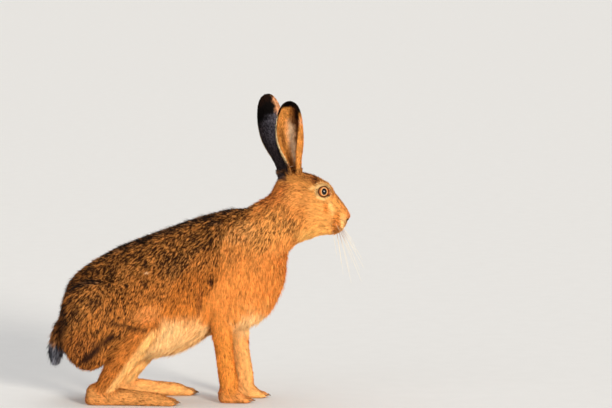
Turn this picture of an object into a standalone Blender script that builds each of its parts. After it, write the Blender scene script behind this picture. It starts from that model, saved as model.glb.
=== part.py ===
"""A brown hare, life size, watching from straight forelegs, as a still museum model.

Metres, +Z up, the hare facing +X, so that -Y is its right side. The body is modelled whole, out to the
tips of the coat, and is then parted with thin flat cuts into the pieces that a person would name.
"""

import math

import bmesh
import bpy
from mathutils import Matrix, Vector

# The gap that touching pieces keep
GAP = 0.0003

# The grid that fuses the body's forms, the smoothing after it, and the triangles that are left of the
# whole: few for the trunk and limbs, and more for the head
FUSE_GRID = 0.0016
FINE_SMOOTHING = 4
BROAD_SMOOTHING = 36
BODY_TRIANGLES = 4800
HEAD_TRIANGLES = 11500

RING_SIDES = 36
RING_STEPS = 4
RIGHT, LEFT = -1, 1

# Upright sections of the trunk: x, top, bottom, half width, and how much wider below than above
TRUNK = [
    (-0.2090, 0.128, 0.098, 0.012, 0.0),
    (-0.2058, 0.145, 0.084, 0.024, 0.0),
    (-0.2000, 0.166, 0.070, 0.036, 0.05),
    (-0.1920, 0.183, 0.062, 0.046, 0.10),
    (-0.1740, 0.200, 0.058, 0.053, 0.15),
    (-0.1530, 0.214, 0.058, 0.057, 0.18),
    (-0.1275, 0.2285, 0.060, 0.060, 0.20),
    (-0.0975, 0.2415, 0.062, 0.062, 0.22),
    (-0.0675, 0.2525, 0.065, 0.062, 0.22),
    (-0.0375, 0.2635, 0.070, 0.059, 0.20),
    (-0.0120, 0.273, 0.081, 0.055, 0.16),
    (0.0120, 0.2800, 0.097, 0.051, 0.12),
    (0.0375, 0.2870, 0.109, 0.049, 0.10),
    (0.0630, 0.2895, 0.112, 0.047, 0.10),
    (0.0840, 0.2850, 0.117, 0.044, 0.10),
    (0.1020, 0.2710, 0.128, 0.038, 0.05),
    (0.1155, 0.2470, 0.150, 0.030, 0.0),
    (0.1245, 0.2240, 0.172, 0.020, 0.0),
    (0.1290, 0.2080, 0.188, 0.010, 0.0),
]

# Upright sections of the head, from the nape to the nose, laid out in the same way
HEAD = [
    (0.1080, 0.3115, 0.2520, 0.018, 0.0),
    (0.1165, 0.3305, 0.2400, 0.026, 0.10),
    (0.1280, 0.3410, 0.2340, 0.0310, 0.20),
    (0.1400, 0.3430, 0.2360, 0.0330, 0.25),
    (0.1520, 0.3425, 0.2400, 0.0330, 0.25),
    (0.1640, 0.3400, 0.2440, 0.0315, 0.22),
    (0.1760, 0.3355, 0.2482, 0.0285, 0.16),
    (0.1870, 0.3285, 0.2498, 0.0250, 0.10),
    (0.1960, 0.3195, 0.2508, 0.0222, 0.06),
    (0.2050, 0.3083, 0.2520, 0.0198, 0.04),
    (0.2110, 0.3002, 0.2555, 0.0182, 0.02),
    (0.2160, 0.2934, 0.2612, 0.0160, 0.0),
    (0.2200, 0.2874, 0.2680, 0.0128, 0.0),
    (0.2232, 0.2815, 0.2708, 0.0088, 0.0),
    (0.2249, 0.2775, 0.2725, 0.0048, 0.0),
]

HEAD_SQUARENESS = 2.7

# Sections square to a run: x, y, z, tilt in degrees, reach above, reach below, half width.
# At a tilt of -90 the run goes down, above is the front and below is the back.
NECK = [
    (0.058, 0.0, 0.214, 30.0, 0.050, 0.058, 0.043),
    (0.080, 0.0, 0.236, 36.0, 0.047, 0.054, 0.041),
    (0.103, 0.0, 0.261, 41.0, 0.041, 0.047, 0.038),
    (0.127, 0.0, 0.282, 41.0, 0.035, 0.050, 0.034),
    (0.142, 0.0, 0.296, 36.0, 0.032, 0.052, 0.030),
]
TAIL = [
    (-0.196, 0.0, 0.128, -128.0, 0.009, 0.008, 0.011),
    (-0.208, 0.0, 0.112, -118.0, 0.011, 0.009, 0.0145),
    (-0.2145, 0.0, 0.093, -100.0, 0.012, 0.0100, 0.0165),
    (-0.2160, 0.0, 0.074, -90.0, 0.011, 0.0105, 0.0165),
    (-0.2155, 0.0, 0.061, -86.0, 0.008, 0.0080, 0.0115),
    (-0.2150, 0.0, 0.054, -84.0, 0.004, 0.0040, 0.0060),
]
FORELEG = [
    (0.0260, 0.0330, 0.162, -100.0, 0.008, 0.008, 0.006),
    (0.0270, 0.0335, 0.150, -96.0, 0.021, 0.017, 0.014),
    (0.0310, 0.0330, 0.122, -88.0, 0.0185, 0.0150, 0.0155),
    (0.0345, 0.0320, 0.0975, -86.0, 0.0150, 0.0140, 0.0140),
    (0.0375, 0.0305, 0.0750, -84.0, 0.0135, 0.0135, 0.0128),
    (0.0405, 0.0290, 0.0525, -84.0, 0.0135, 0.0135, 0.0125),
    (0.0435, 0.0275, 0.0320, -84.0, 0.0140, 0.0140, 0.0128),
    (0.0450, 0.0270, 0.0180, -84.0, 0.0120, 0.0130, 0.0128),
]
SHANK = [
    (-0.0640, 0.0550, 0.1330, -128.0, 0.008, 0.008, 0.0060),
    (-0.0710, 0.0560, 0.1240, -128.0, 0.019, 0.019, 0.0150),
    (-0.0830, 0.0560, 0.1080, -128.0, 0.0225, 0.025, 0.0190),
    (-0.0990, 0.0550, 0.0850, -126.0, 0.0215, 0.025, 0.0185),
    (-0.1160, 0.0535, 0.0610, -124.0, 0.0185, 0.021, 0.0160),
    (-0.1320, 0.0515, 0.0380, -122.0, 0.0150, 0.017, 0.0135),
    (-0.1400, 0.0505, 0.0240, -118.0, 0.0130, 0.014, 0.0120),
]

# Upright sections of the feet: x, y, top, bottom, half width
HIND_FOOT = [
    (-0.1690, 0.0495, 0.0180, 0.0050, 0.0050),
    (-0.1660, 0.0495, 0.0260, 0.0000, 0.0095),
    (-0.1560, 0.0500, 0.0330, -0.0015, 0.0118),
    (-0.1420, 0.0505, 0.0320, -0.0015, 0.0124),
    (-0.1220, 0.0510, 0.0270, -0.0015, 0.0122),
    (-0.0950, 0.0520, 0.0220, -0.0015, 0.0128),
    (-0.0700, 0.0535, 0.0195, -0.0015, 0.0150),
    (-0.0540, 0.0540, 0.0165, -0.0010, 0.0150),
    (-0.0450, 0.0545, 0.0100, 0.0000, 0.0120),
]
FORE_PAW = [
    (0.0285, 0.0270, 0.0170, 0.0060, 0.0060),
    (0.0325, 0.0270, 0.0240, -0.0005, 0.0112),
    (0.0430, 0.0270, 0.0270, -0.0015, 0.0134),
    (0.0560, 0.0270, 0.0200, -0.0015, 0.0140),
    (0.0640, 0.0270, 0.0130, -0.0010, 0.0120),
]

# The left hind leg stands this much further forward, and the left foreleg too
LEFT_HIND_FORWARD = 0.024
LEFT_FORE_FORWARD = 0.0225

# Toes: how far the outer ones stand behind the middle ones at half the spread, how much their roots
# draw together and rise, how low their tips lie, how much thicker their roots are, and each foot's own
TOE_SET_BACK = 0.0072
TOE_ROOT_DRAWN_IN = 0.28
TOE_ROOT_RISE = 0.64
TOE_TIP_HEIGHT = 0.86
TOE_ROOT_THICKER = 1.08
HIND_TOE = {"count": 4, "tip_x": -0.0320, "length": 0.030, "radius": 0.0056, "spread": 0.0265}
FORE_TOE = {"count": 4, "tip_x": 0.0780, "length": 0.022, "radius": 0.0050, "spread": 0.0215}
CLAW_LENGTH = 0.0095
CLAW_RADIUS = 0.0017
CLAW_DROP = 0.0016
CLAW_TAPER = 0.72
CLAW_FLAT = 0.8
CLAW_START = Vector((0.001, 0, 0.0008))
CLAW_STEPS = 4
CLAW_SIDES = 6

# Soft masses on each side: centre, radii, and turn about Y in degrees
MUSCLES = {
    "shoulder_blade": ((0.046, 0.0245, 0.212), (0.036, 0.0200, 0.066), -24.0),
    "upper_arm": ((0.056, 0.0310, 0.148), (0.027, 0.0185, 0.046), 46.0),
    "thigh": ((-0.131, 0.0420, 0.133), (0.074, 0.0285, 0.052), 18.0),
    "ham": ((-0.163, 0.0375, 0.100), (0.040, 0.0250, 0.050), 0.0),
    "knee": ((-0.083, 0.0560, 0.112), (0.026, 0.0175, 0.025), 0.0),
    "cheek": ((0.157, 0.0210, 0.272), (0.025, 0.0130, 0.024), -10.0),
    "orbit": ((0.1822, 0.0118, 0.3122), (0.0205, 0.0132, 0.0168), 30.0),
    "whisker_pad": ((0.2050, 0.0092, 0.2665), (0.0132, 0.0112, 0.0142), 12.0),
    "nose_wing": ((0.2180, 0.0036, 0.2768), (0.0067, 0.0062, 0.0060), 0.0),
}
CHIN = ((0.1960, 0.0, 0.2562), (0.0132, 0.0120, 0.0068), 0.0)

# The eye: centre, radius and where it looks, and the lids round its front
EYE_CENTRE = (0.1838, 0.0174, 0.3150)
EYE_RADIUS = 0.0098
EYE_LOOK = (0.26, 1.0, 0.12)
EYE_SEGMENTS = 20
LID_OPENING = 0.0079
LID_THICKNESS = 0.0015
LID_SIDES = (24, 7)

# The ears: foot on the head, and how far each leans back, splays out and turns forward, in degrees
EAR_LENGTH = 0.1187
EAR_THICKNESS = 0.0024
EAR_STUB_HEIGHT = 0.026
EAR_STUB_RADIUS = 0.0150
EAR_STUB_TOP = 0.0104
EAR_STUB_OVERLAP = 0.004
EAR_SEAT_RADIUS = 0.0210
EAR_SEAT_DEPTH = 0.03
EARS = {
    "ear_right": {"side": RIGHT, "foot": (0.1420, 0.0165, 0.344), "lean": 3.3, "splay": 25.0, "turn": -4.0},
    "ear_left": {"side": LEFT, "foot": (0.1275, 0.0165, 0.343), "lean": 13.5, "splay": 9.0, "turn": 10.0},
}
# Along the cup of an ear: share of its length, half width, half depth, where the back and front rims
# end in degrees round from the middle of its back, and how far its middle bows back
EAR_SECTIONS = [
    (0.00, 0.0086, 0.0084, 154.0, 158.0, 0.0000),
    (0.10, 0.0092, 0.0088, 148.0, 156.0, 0.0004),
    (0.20, 0.0112, 0.0094, 134.0, 152.0, 0.0014),
    (0.32, 0.0150, 0.0102, 118.0, 148.0, 0.0026),
    (0.46, 0.0180, 0.0104, 108.0, 142.0, 0.0036),
    (0.60, 0.0184, 0.0096, 102.0, 134.0, 0.0036),
    (0.74, 0.0172, 0.0082, 98.0, 124.0, 0.0028),
    (0.86, 0.0144, 0.0062, 94.0, 112.0, 0.0018),
    (0.94, 0.0106, 0.0044, 90.0, 102.0, 0.0010),
    (0.98, 0.0066, 0.0030, 86.0, 94.0, 0.0006),
    (1.00, 0.0016, 0.0018, 84.0, 88.0, 0.0004),
]
EAR_STEPS = 2
EAR_ACROSS = 10

# The line of the mouth on one side, from the split of the lip to its corner, and its groove
MOUTH_LINE = [
    (0.2172, 0.0000, 0.2605),
    (0.2148, 0.0062, 0.2578),
    (0.2098, 0.0120, 0.2562),
    (0.2025, 0.0172, 0.2562),
    (0.1950, 0.0200, 0.2585),
]
MOUTH_GROOVE = 0.0011
LIP_SPLIT = [(0.2225, 0.0, 0.2718), (0.2200, 0.0, 0.2672), (0.2172, 0.0, 0.2605)]
LIP_SPLIT_GROOVE = 0.0010
# A nostril: centre, radii, and its turns about X and about Z in degrees
NOSTRIL = ((0.2218, 0.0050, 0.2750), (0.0030, 0.0010, 0.0022), 32.0, 34.0)

# Flat cuts that part the body: a point, and the cut's normal
CUTS = {
    "waist": ((-0.004, 0.0, 0.180), (1.0, 0.0, 0.05)),
    "flank": ((-0.034, 0.0, 0.110), (0.905, 0.0, 0.425)),
    "neck_foot": ((0.087, 0.0, 0.2955), (0.818, 0.0, 0.575)),
    "nape": ((0.131, 0.0, 0.280), (0.933, 0.0, 0.360)),
    "elbow": ((0.034, 0.0, 0.0985), (-0.37, 0.0, 0.93)),
    "wrist": ((0.045, 0.0, 0.0330), (0.0, 0.0, 1.0)),
    "tail_root": ((-0.2065, 0.0, 0.100), (-0.97, 0.0, -0.22)),
    "ankle": ((-0.140, 0.0, 0.0350), (0.0, 0.0, 1.0)),
    "ham": ((-0.062, 0.0, 0.128), (-0.628, 0.0, 0.778)),
    "sole": ((0.0, 0.0, 0.0), (0.0, 0.0, 1.0)),
}
# A cut that parts a limb from the trunk leans out towards the top: y, z, and degrees from upright
SHOULDER_CUT = (0.0235, 0.120, 14.0)
THIGH_CUT = (0.0255, 0.060, 16.0)

COLOURS = {
    "back": (0.30, 0.20, 0.11),
    "flank": (0.50, 0.29, 0.13),
    "chest": (0.62, 0.33, 0.13),
    "face": (0.60, 0.40, 0.20),
    "ear": (0.45, 0.32, 0.20),
    "tail": (0.16, 0.13, 0.11),
    "eye": (0.40, 0.18, 0.04),
}


def coat_material(name, roughness=0.85):
    """The plain material of one kind of coat, or of the eye."""
    material = bpy.data.materials.get(name) or bpy.data.materials.new(name)
    material.use_nodes = True
    shader = material.node_tree.nodes["Principled BSDF"]
    shader.inputs["Base Color"].default_value = (*COLOURS[name], 1.0)
    shader.inputs["Roughness"].default_value = roughness
    shader.inputs["Metallic"].default_value = 0.0
    return material


def clear_scene():
    for thing in list(bpy.data.objects):
        bpy.data.objects.remove(thing)


def new_object(name, bm, collection):
    """An object of that name from a bmesh, which is freed."""
    mesh = bpy.data.meshes.new(name)
    bm.to_mesh(mesh)
    bm.free()
    made = bpy.data.objects.new(name, mesh)
    collection.objects.link(made)
    return made


def smooth_stations(stations, steps=RING_STEPS):
    """The stations with others between them, on a curve that passes through each one."""
    known = [Vector(station) for station in stations]
    found = []
    for i, (here, there) in enumerate(zip(known, known[1:])):
        before, after = known[max(i - 1, 0)], known[min(i + 2, len(known) - 1)]
        lean_here, lean_there = (there - before) / 2, (after - here) / 2
        for step in range(steps):
            t = step / steps
            found.append(
                here * (2 * t**3 - 3 * t**2 + 1)
                + lean_here * (t**3 - 2 * t**2 + t)
                + there * (3 * t**2 - 2 * t**3)
                + lean_there * (t**3 - t**2)
            )
    return found + [known[-1]]


def rounded(value, squareness):
    """A sine or cosine, pushed out so that a section gets corners: a squareness of 2 leaves an ellipse."""
    return math.copysign(abs(value) ** (2 / squareness), value)


def ring(centre, up, above, below, half_width, pear=0.0, squareness=2.0):
    """One closed section: it reaches above and below its centre along up, and half_width to each side."""
    points = []
    for i in range(RING_SIDES):
        angle = 2 * math.pi * i / RING_SIDES
        share = rounded(math.cos(angle), squareness)
        height = share * (above if share > 0 else below)
        aside = rounded(math.sin(angle), squareness) * half_width * (1 - pear * share)
        points.append(centre + up * height + Vector((0, aside, 0)))
    return points


def loft(name, rings, collection):
    """A closed body through rings of points, with flat ends."""
    bm = bmesh.new()
    rows = [[bm.verts.new(point) for point in points] for points in rings]
    for here, there in zip(rows, rows[1:]):
        for i in range(RING_SIDES):
            j = (i + 1) % RING_SIDES
            bm.faces.new((here[i], here[j], there[j], there[i]))
    bm.faces.new(rows[0])
    bm.faces.new(rows[-1])
    bmesh.ops.recalc_face_normals(bm, faces=bm.faces)
    return new_object(name, bm, collection)


def upright_loft(name, stations, squareness, collection):
    """A loft through upright sections: x, top, bottom, half width, pear."""
    rings = []
    for x, top, bottom, half_width, pear in smooth_stations(stations):
        half = (top - bottom) / 2
        centre = Vector((x, 0, top - half))
        rings.append(ring(centre, Vector((0, 0, 1)), half, half, half_width, pear, squareness))
    return loft(name, rings, collection)


def foot_loft(name, stations, side, forward, collection):
    """A loft through upright sections of a foot: x, y, top, bottom, half width."""
    rings = []
    for x, y, top, bottom, half_width in smooth_stations(stations):
        centre = Vector((x + forward, side * y, (top + bottom) / 2))
        half = (top - bottom) / 2
        rings.append(ring(centre, Vector((0, 0, 1)), half, half, half_width, 0.12))
    return loft(name, rings, collection)


def run_loft(name, stations, collection, side=RIGHT, forward=0.0):
    """A loft through sections square to a run, on one side of the hare and set forward by so much."""
    rings = []
    for x, y, z, tilt, above, below, half_width in smooth_stations(stations):
        angle = math.radians(tilt)
        up = Vector((-math.sin(angle), 0, math.cos(angle)))
        rings.append(ring(Vector((x + forward, side * y, z)), up, above, below, half_width))
    return loft(name, rings, collection)


def ellipsoid(name, centre, radii, turn, collection, side=LEFT, forward=0.0, segments=28):
    """A closed ellipsoid, turned about Y, on one side of the hare."""
    bm = bmesh.new()
    bmesh.ops.create_uvsphere(bm, u_segments=segments, v_segments=segments // 2, radius=1.0)
    x, y, z = centre
    place = Matrix.Translation((x + forward, side * y, z))
    bm.transform(place @ Matrix.Rotation(math.radians(turn), 4, "Y") @ Matrix.Diagonal((*radii, 1.0)))
    return new_object(name, bm, collection)


def capsule(name, start, end, radius, collection, end_radius=None, segments=14):
    """A closed rod with round ends."""
    start, end = Vector(start), Vector(end)
    run = end - start
    bm = bmesh.new()
    bmesh.ops.create_uvsphere(bm, u_segments=segments, v_segments=segments, radius=radius)
    last = radius if end_radius is None else end_radius
    for vert in bm.verts:
        if vert.co.z > 1e-9:
            vert.co = vert.co * (last / radius) + Vector((0, 0, run.length))
    turn = Vector((0, 0, 1)).rotation_difference(run.normalized())
    bm.transform(Matrix.Translation(start) @ turn.to_matrix().to_4x4())
    return new_object(name, bm, collection)


def toe_tips(stations, toe, side, forward):
    """For each toe of a foot, where its root and its tip are."""
    middle = side * stations[-1][1]
    for i in range(toe["count"]):
        across = (i + 0.5) / toe["count"] - 0.5
        back = TOE_SET_BACK * (2 * across) ** 2 + toe["radius"]
        aside = across * toe["spread"]
        tip = Vector((toe["tip_x"] + forward - back, middle + aside, toe["radius"] * TOE_TIP_HEIGHT))
        drawn_in, rise = -TOE_ROOT_DRAWN_IN * aside, toe["radius"] * TOE_ROOT_RISE
        yield tip + Vector((-toe["length"], drawn_in, rise)), tip


def add_toes(stations, toe, side, forward, collection):
    """A foot's toes side by side, the outer ones set back, as closed rods that sink into the foot."""
    for root, tip in toe_tips(stations, toe, side, forward):
        capsule("toe", root, tip, toe["radius"] * TOE_ROOT_THICKER, collection, toe["radius"])


def claw(start, along, collection):
    """A small claw, curved down, that starts inside a toe."""
    bm = bmesh.new()
    rows = []
    for step in range(CLAW_STEPS):
        t = step / (CLAW_STEPS - 1)
        centre = Vector(start) + Vector(along) * CLAW_LENGTH * t - Vector((0, 0, CLAW_DROP * t * t))
        reach = CLAW_RADIUS * (1 - CLAW_TAPER * t)
        angles = [2 * math.pi * i / CLAW_SIDES for i in range(CLAW_SIDES)]
        ring_points = [Vector((0, math.cos(a) * reach * CLAW_FLAT, math.sin(a) * reach)) for a in angles]
        rows.append([bm.verts.new(centre + point) for point in ring_points])
    for here, there in zip(rows, rows[1:]):
        for i in range(CLAW_SIDES):
            j = (i + 1) % CLAW_SIDES
            bm.faces.new((here[i], here[j], there[j], there[i]))
    bm.faces.new(rows[0])
    bm.faces.new(rows[-1])
    bmesh.ops.recalc_face_normals(bm, faces=bm.faces)
    return new_object("claw", bm, collection)


def ear_frame(ear):
    """The ear's foot, the way it points, the way its front rim lies, and the way its back faces."""
    side = ear["side"]
    x, y, z = ear["foot"]
    lean, splay = math.radians(ear["lean"]), math.radians(ear["splay"])
    along = Vector((-math.sin(lean), side * math.sin(splay), math.cos(lean) * math.cos(splay))).normalized()
    back = Vector((0, -side, 0))
    back = (back - along * back.dot(along)).normalized()
    back = Matrix.Rotation(-side * math.radians(ear["turn"]), 3, along) @ back
    front = back.cross(along) * -side
    return Vector((x, side * y, z)), along, front, back


def make_ear(name, ear, collection):
    """An ear as a thin rolled leaf: a tube at its foot that opens into a cup, with a round tip."""
    foot, along, front, back = ear_frame(ear)
    bm = bmesh.new()
    rows = []
    for share, half_width, half_depth, back_rim, front_rim, bow in smooth_stations(EAR_SECTIONS, EAR_STEPS):
        row = []
        for i in range(EAR_ACROSS + 1):
            angle = math.radians(-back_rim + (back_rim + front_rim) * i / EAR_ACROSS)
            row.append(
                bm.verts.new(
                    foot
                    + along * (GAP + EAR_LENGTH * share)
                    + front * (half_width * math.sin(angle) - bow)
                    + back * half_depth * math.cos(angle)
                )
            )
        rows.append(row)
    for here, there in zip(rows, rows[1:]):
        for i in range(EAR_ACROSS):
            corners = (here[i], here[i + 1], there[i + 1], there[i])
            bm.faces.new(corners if ear["side"] == LEFT else corners[::-1])
    made = new_object(name, bm, collection)
    shell = made.modifiers.new("shell", "SOLIDIFY")
    shell.thickness = EAR_THICKNESS
    shell.offset = 1.0
    shell.use_even_offset = False
    return made


def add_body_forms(collection):
    """Every mass of the hare that the coat joins into one skin."""
    upright_loft("trunk", TRUNK, 2.0, collection)
    upright_loft("skull", HEAD, HEAD_SQUARENESS, collection)
    run_loft("neck", NECK, collection)
    run_loft("tail", TAIL, collection)
    ellipsoid("chin", *CHIN, collection)
    for side in (RIGHT, LEFT):
        hind = LEFT_HIND_FORWARD if side == LEFT else 0.0
        fore = LEFT_FORE_FORWARD if side == LEFT else 0.0
        run_loft("foreleg", FORELEG, collection, side, fore)
        run_loft("shank", SHANK, collection, side, hind)
        foot_loft("fore_paw", FORE_PAW, side, fore, collection)
        foot_loft("hind_foot", HIND_FOOT, side, hind, collection)
        add_toes(FORE_PAW, FORE_TOE, side, fore, collection)
        add_toes(HIND_FOOT, HIND_TOE, side, hind, collection)
        set_forward = {"knee": hind, "thigh": hind * 0.4, "upper_arm": fore * 0.7}
        for name, (centre, radii, turn) in MUSCLES.items():
            ellipsoid(name, centre, radii, turn, collection, side, set_forward.get(name, 0.0))
    for ear in EARS.values():
        foot, along, _, _ = ear_frame(ear)
        low, high = foot - along * EAR_STUB_HEIGHT, foot + along * EAR_STUB_OVERLAP
        capsule("ear_stub", low, high, EAR_STUB_RADIUS, collection, EAR_STUB_TOP)


def joined(name, sources, collection):
    """One object that holds the meshes of several, which are removed."""
    bm = bmesh.new()
    for source in sources:
        bm.from_mesh(source.data)
        bpy.data.objects.remove(source)
    return new_object(name, bm, collection)


def apply_modifiers(thing):
    """The object's mesh becomes what its modifiers make of it."""
    bpy.context.view_layer.update()
    graph = bpy.context.evaluated_depsgraph_get()
    mesh = bpy.data.meshes.new_from_object(thing.evaluated_get(graph))
    thing.modifiers.clear()
    thing.data = mesh


def keep_largest(thing):
    """Drops every closed surface of a mesh but the largest."""
    bm = bmesh.new()
    bm.from_mesh(thing.data)
    left, pieces = set(bm.verts), []
    while left:
        todo, piece = [left.pop()], []
        while todo:
            vert = todo.pop()
            piece.append(vert)
            for edge in vert.link_edges:
                other = edge.other_vert(vert)
                if other in left:
                    left.remove(other)
                    todo.append(other)
        pieces.append(piece)
    pieces.sort(key=len)
    for piece in pieces[:-1]:
        bmesh.ops.delete(bm, geom=piece, context="VERTS")
    bm.to_mesh(thing.data)
    bm.free()


def ramp(value, low, high):
    """0 below low, 1 above high, and even between."""
    return min(max((value - low) / (high - low), 0.0), 1.0)


def broad_share(place):
    """How fully a place on the body takes the broad smoothing: feet, face and tail keep their shapes."""
    return (
        ramp(place.z, 0.040, 0.080)
        * (1 - ramp(place.x, 0.125, 0.160))
        * (1 - ramp(place.z, 0.325, 0.340))
        * ramp(place.x, -0.212, -0.196)
    )


def fused_body(collection):
    """The hare's body as one smooth closed skin, with few enough triangles."""
    add_body_forms(collection)
    body = joined("body", list(collection.objects), collection)
    fuse = body.modifiers.new("fuse", "REMESH")
    fuse.mode = "VOXEL"
    fuse.voxel_size = FUSE_GRID
    apply_modifiers(body)
    keep_largest(body)
    broad = body.vertex_groups.new(name="broad")
    for vert in body.data.vertices:
        broad.add([vert.index], broad_share(vert.co), "REPLACE")
    for iterations, group in ((BROAD_SMOOTHING, "broad"), (FINE_SMOOTHING, "")):
        soften = body.modifiers.new("soften", "SMOOTH")
        soften.factor = 0.5
        soften.iterations = iterations
        soften.vertex_group = group
    apply_modifiers(body)
    return body


def thinned(thing, name, triangles):
    """A copy of the object with about so many triangles."""
    made = bpy.data.objects.new(name, thing.data.copy())
    thing.users_collection[0].objects.link(made)
    thin = made.modifiers.new("thin", "DECIMATE")
    thin.ratio = triangles / (2 * len(thing.data.polygons))
    apply_modifiers(made)
    return made


def half_of(thing, name, point, normal, side):
    """The part of a closed mesh on one side of a flat cut, set back by half the gap and closed again."""
    normal = Vector(normal).normalized()
    bm = bmesh.new()
    bm.from_mesh(thing.data)
    cut = bmesh.ops.bisect_plane(
        bm,
        geom=[*bm.verts, *bm.edges, *bm.faces],
        dist=1e-7,
        plane_co=Vector(point) + normal * side * GAP / 2,
        plane_no=normal,
        clear_inner=side > 0,
        clear_outer=side < 0,
    )
    rim = [edge for edge in cut["geom_cut"] if isinstance(edge, bmesh.types.BMEdge)]
    filled = bmesh.ops.holes_fill(bm, edges=rim, sides=0)
    bmesh.ops.triangulate(bm, faces=filled["faces"])
    bmesh.ops.recalc_face_normals(bm, faces=bm.faces)
    return new_object(name, bm, thing.users_collection[0])


def part_in_two(thing, cut, above, below):
    """Parts an object along a flat cut: the piece that the normal points to takes the first name."""
    pieces = half_of(thing, above, *cut, 1), half_of(thing, below, *cut, -1)
    bpy.data.objects.remove(thing)
    for piece in pieces:
        keep_largest(piece)
    return pieces


def limb_cut(cut, side):
    """The cut beside the trunk that parts a limb, with its normal pointing out."""
    aside, height, lean = cut
    angle = math.radians(lean)
    return (0.0, side * aside, height), (0.0, side * math.cos(angle), -math.sin(angle))


def flat_soled(thing, name):
    """The foot with a flat sole at the floor."""
    foot = half_of(thing, name, *CUTS["sole"], 1)
    bpy.data.objects.remove(thing)
    return foot


def part_body(body):
    """Parts the body into the pieces that a person would name, and returns the head and the feet."""
    fine = thinned(body, "fine", HEAD_TRIANGLES)
    coarse = thinned(body, "coarse", BODY_TRIANGLES)
    head = half_of(fine, "head", *CUTS["nape"], 1)
    trunk = half_of(coarse, "trunk", *CUTS["nape"], -1)
    for thing in (body, fine, coarse):
        bpy.data.objects.remove(thing)
    keep_largest(head)
    front, rear = part_in_two(trunk, CUTS["waist"], "front", "rear")
    _, chest = part_in_two(front, CUTS["neck_foot"], "neck", "chest")
    tail, rear = part_in_two(rear, CUTS["tail_root"], "tail", "rear")
    _, rump = part_in_two(rear, CUTS["flank"], "abdomen", "rump")
    feet = []
    for side, tag in ((RIGHT, "right"), (LEFT, "left")):
        limb, chest = part_in_two(chest, limb_cut(SHOULDER_CUT, side), "limb", "chest")
        _, lower = part_in_two(limb, CUTS["elbow"], f"shoulder_{tag}", "lower")
        _, paw = part_in_two(lower, CUTS["wrist"], f"forearm_{tag}", "paw")
        feet.append(flat_soled(paw, f"forepaw_{tag}"))
        limb, rump = part_in_two(rump, limb_cut(THIGH_CUT, side), "limb", "rump")
        _, lower = part_in_two(limb, CUTS["ham"], f"thigh_{tag}", "lower")
        _, foot = part_in_two(lower, CUTS["ankle"], f"shank_{tag}", "foot")
        feet.append(flat_soled(foot, f"hindfoot_{tag}"))
    return head, feet


def facing(place, look):
    """A matrix that sets +Z to look, and moves the origin to place."""
    turn = Vector((0, 0, 1)).rotation_difference(Vector(look).normalized())
    return Matrix.Translation(place) @ turn.to_matrix().to_4x4()


def sided(point, side):
    """A point given for the left, on the side that is asked for."""
    x, y, z = point
    return Vector((x, side * y, z))


def ball(name, centre, radius, look, collection, segments=EYE_SEGMENTS):
    bm = bmesh.new()
    bmesh.ops.create_uvsphere(bm, u_segments=segments, v_segments=segments // 2, radius=radius)
    bm.transform(facing(centre, look))
    return new_object(name, bm, collection)


def lid(name, side, collection):
    """The rolled edge of the lids, as a ring round the front of the eye."""
    around, across = LID_SIDES
    middle = LID_OPENING + 0.5 * LID_THICKNESS
    height = math.sqrt(EYE_RADIUS**2 - LID_OPENING**2) + 0.2 * LID_THICKNESS
    bm = bmesh.new()
    rows = []
    for i in range(around):
        angle = 2 * math.pi * i / around
        row = []
        for j in range(across):
            turn = 2 * math.pi * j / across
            reach = middle + LID_THICKNESS * math.cos(turn)
            row.append(
                bm.verts.new(
                    (
                        reach * math.cos(angle),
                        reach * math.sin(angle),
                        height + LID_THICKNESS * math.sin(turn),
                    )
                )
            )
        rows.append(row)
    for i in range(around):
        for j in range(across):
            here, there = rows[i], rows[(i + 1) % around]
            k = (j + 1) % across
            bm.faces.new((here[j], there[j], there[k], here[k]))
    bm.transform(facing(sided(EYE_CENTRE, side), sided(EYE_LOOK, side)))
    bmesh.ops.recalc_face_normals(bm, faces=bm.faces)
    return new_object(name, bm, collection)


def tube(name, points, radius, collection, sides=6):
    """A closed tube through points, rounded a little at its ends."""
    path = smooth_stations(points, 2)
    rows = []
    for i, place in enumerate(path):
        before, after = path[max(i - 1, 0)], path[min(i + 1, len(path) - 1)]
        turn = facing(place, after - before)
        reach = radius * (0.45 if i in (0, len(path) - 1) else 1.0)
        angles = [2 * math.pi * j / sides for j in range(sides)]
        rows.append([turn @ Vector((math.cos(a) * reach, math.sin(a) * reach, 0)) for a in angles])
    bm = bmesh.new()
    rows = [[bm.verts.new(point) for point in row] for row in rows]
    for here, there in zip(rows, rows[1:]):
        for i in range(sides):
            j = (i + 1) % sides
            bm.faces.new((here[i], here[j], there[j], there[i]))
    bm.faces.new(rows[0])
    bm.faces.new(rows[-1])
    bmesh.ops.recalc_face_normals(bm, faces=bm.faces)
    return new_object(name, bm, collection)


def combine(thing, operation, others, name):
    """Gives the object a Boolean with one other, or with every object of a collection."""
    step = thing.modifiers.new(name, "BOOLEAN")
    step.operation = operation
    step.solver = "EXACT"
    if isinstance(others, bpy.types.Collection):
        step.operand_type = "COLLECTION"
        step.collection = others
    else:
        step.object = others


def add_helpers(name, parent):
    """A collection of helper shapes, which never render."""
    made = bpy.data.collections.new(name)
    made.hide_render = True
    parent.children.link(made)
    return made


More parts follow.
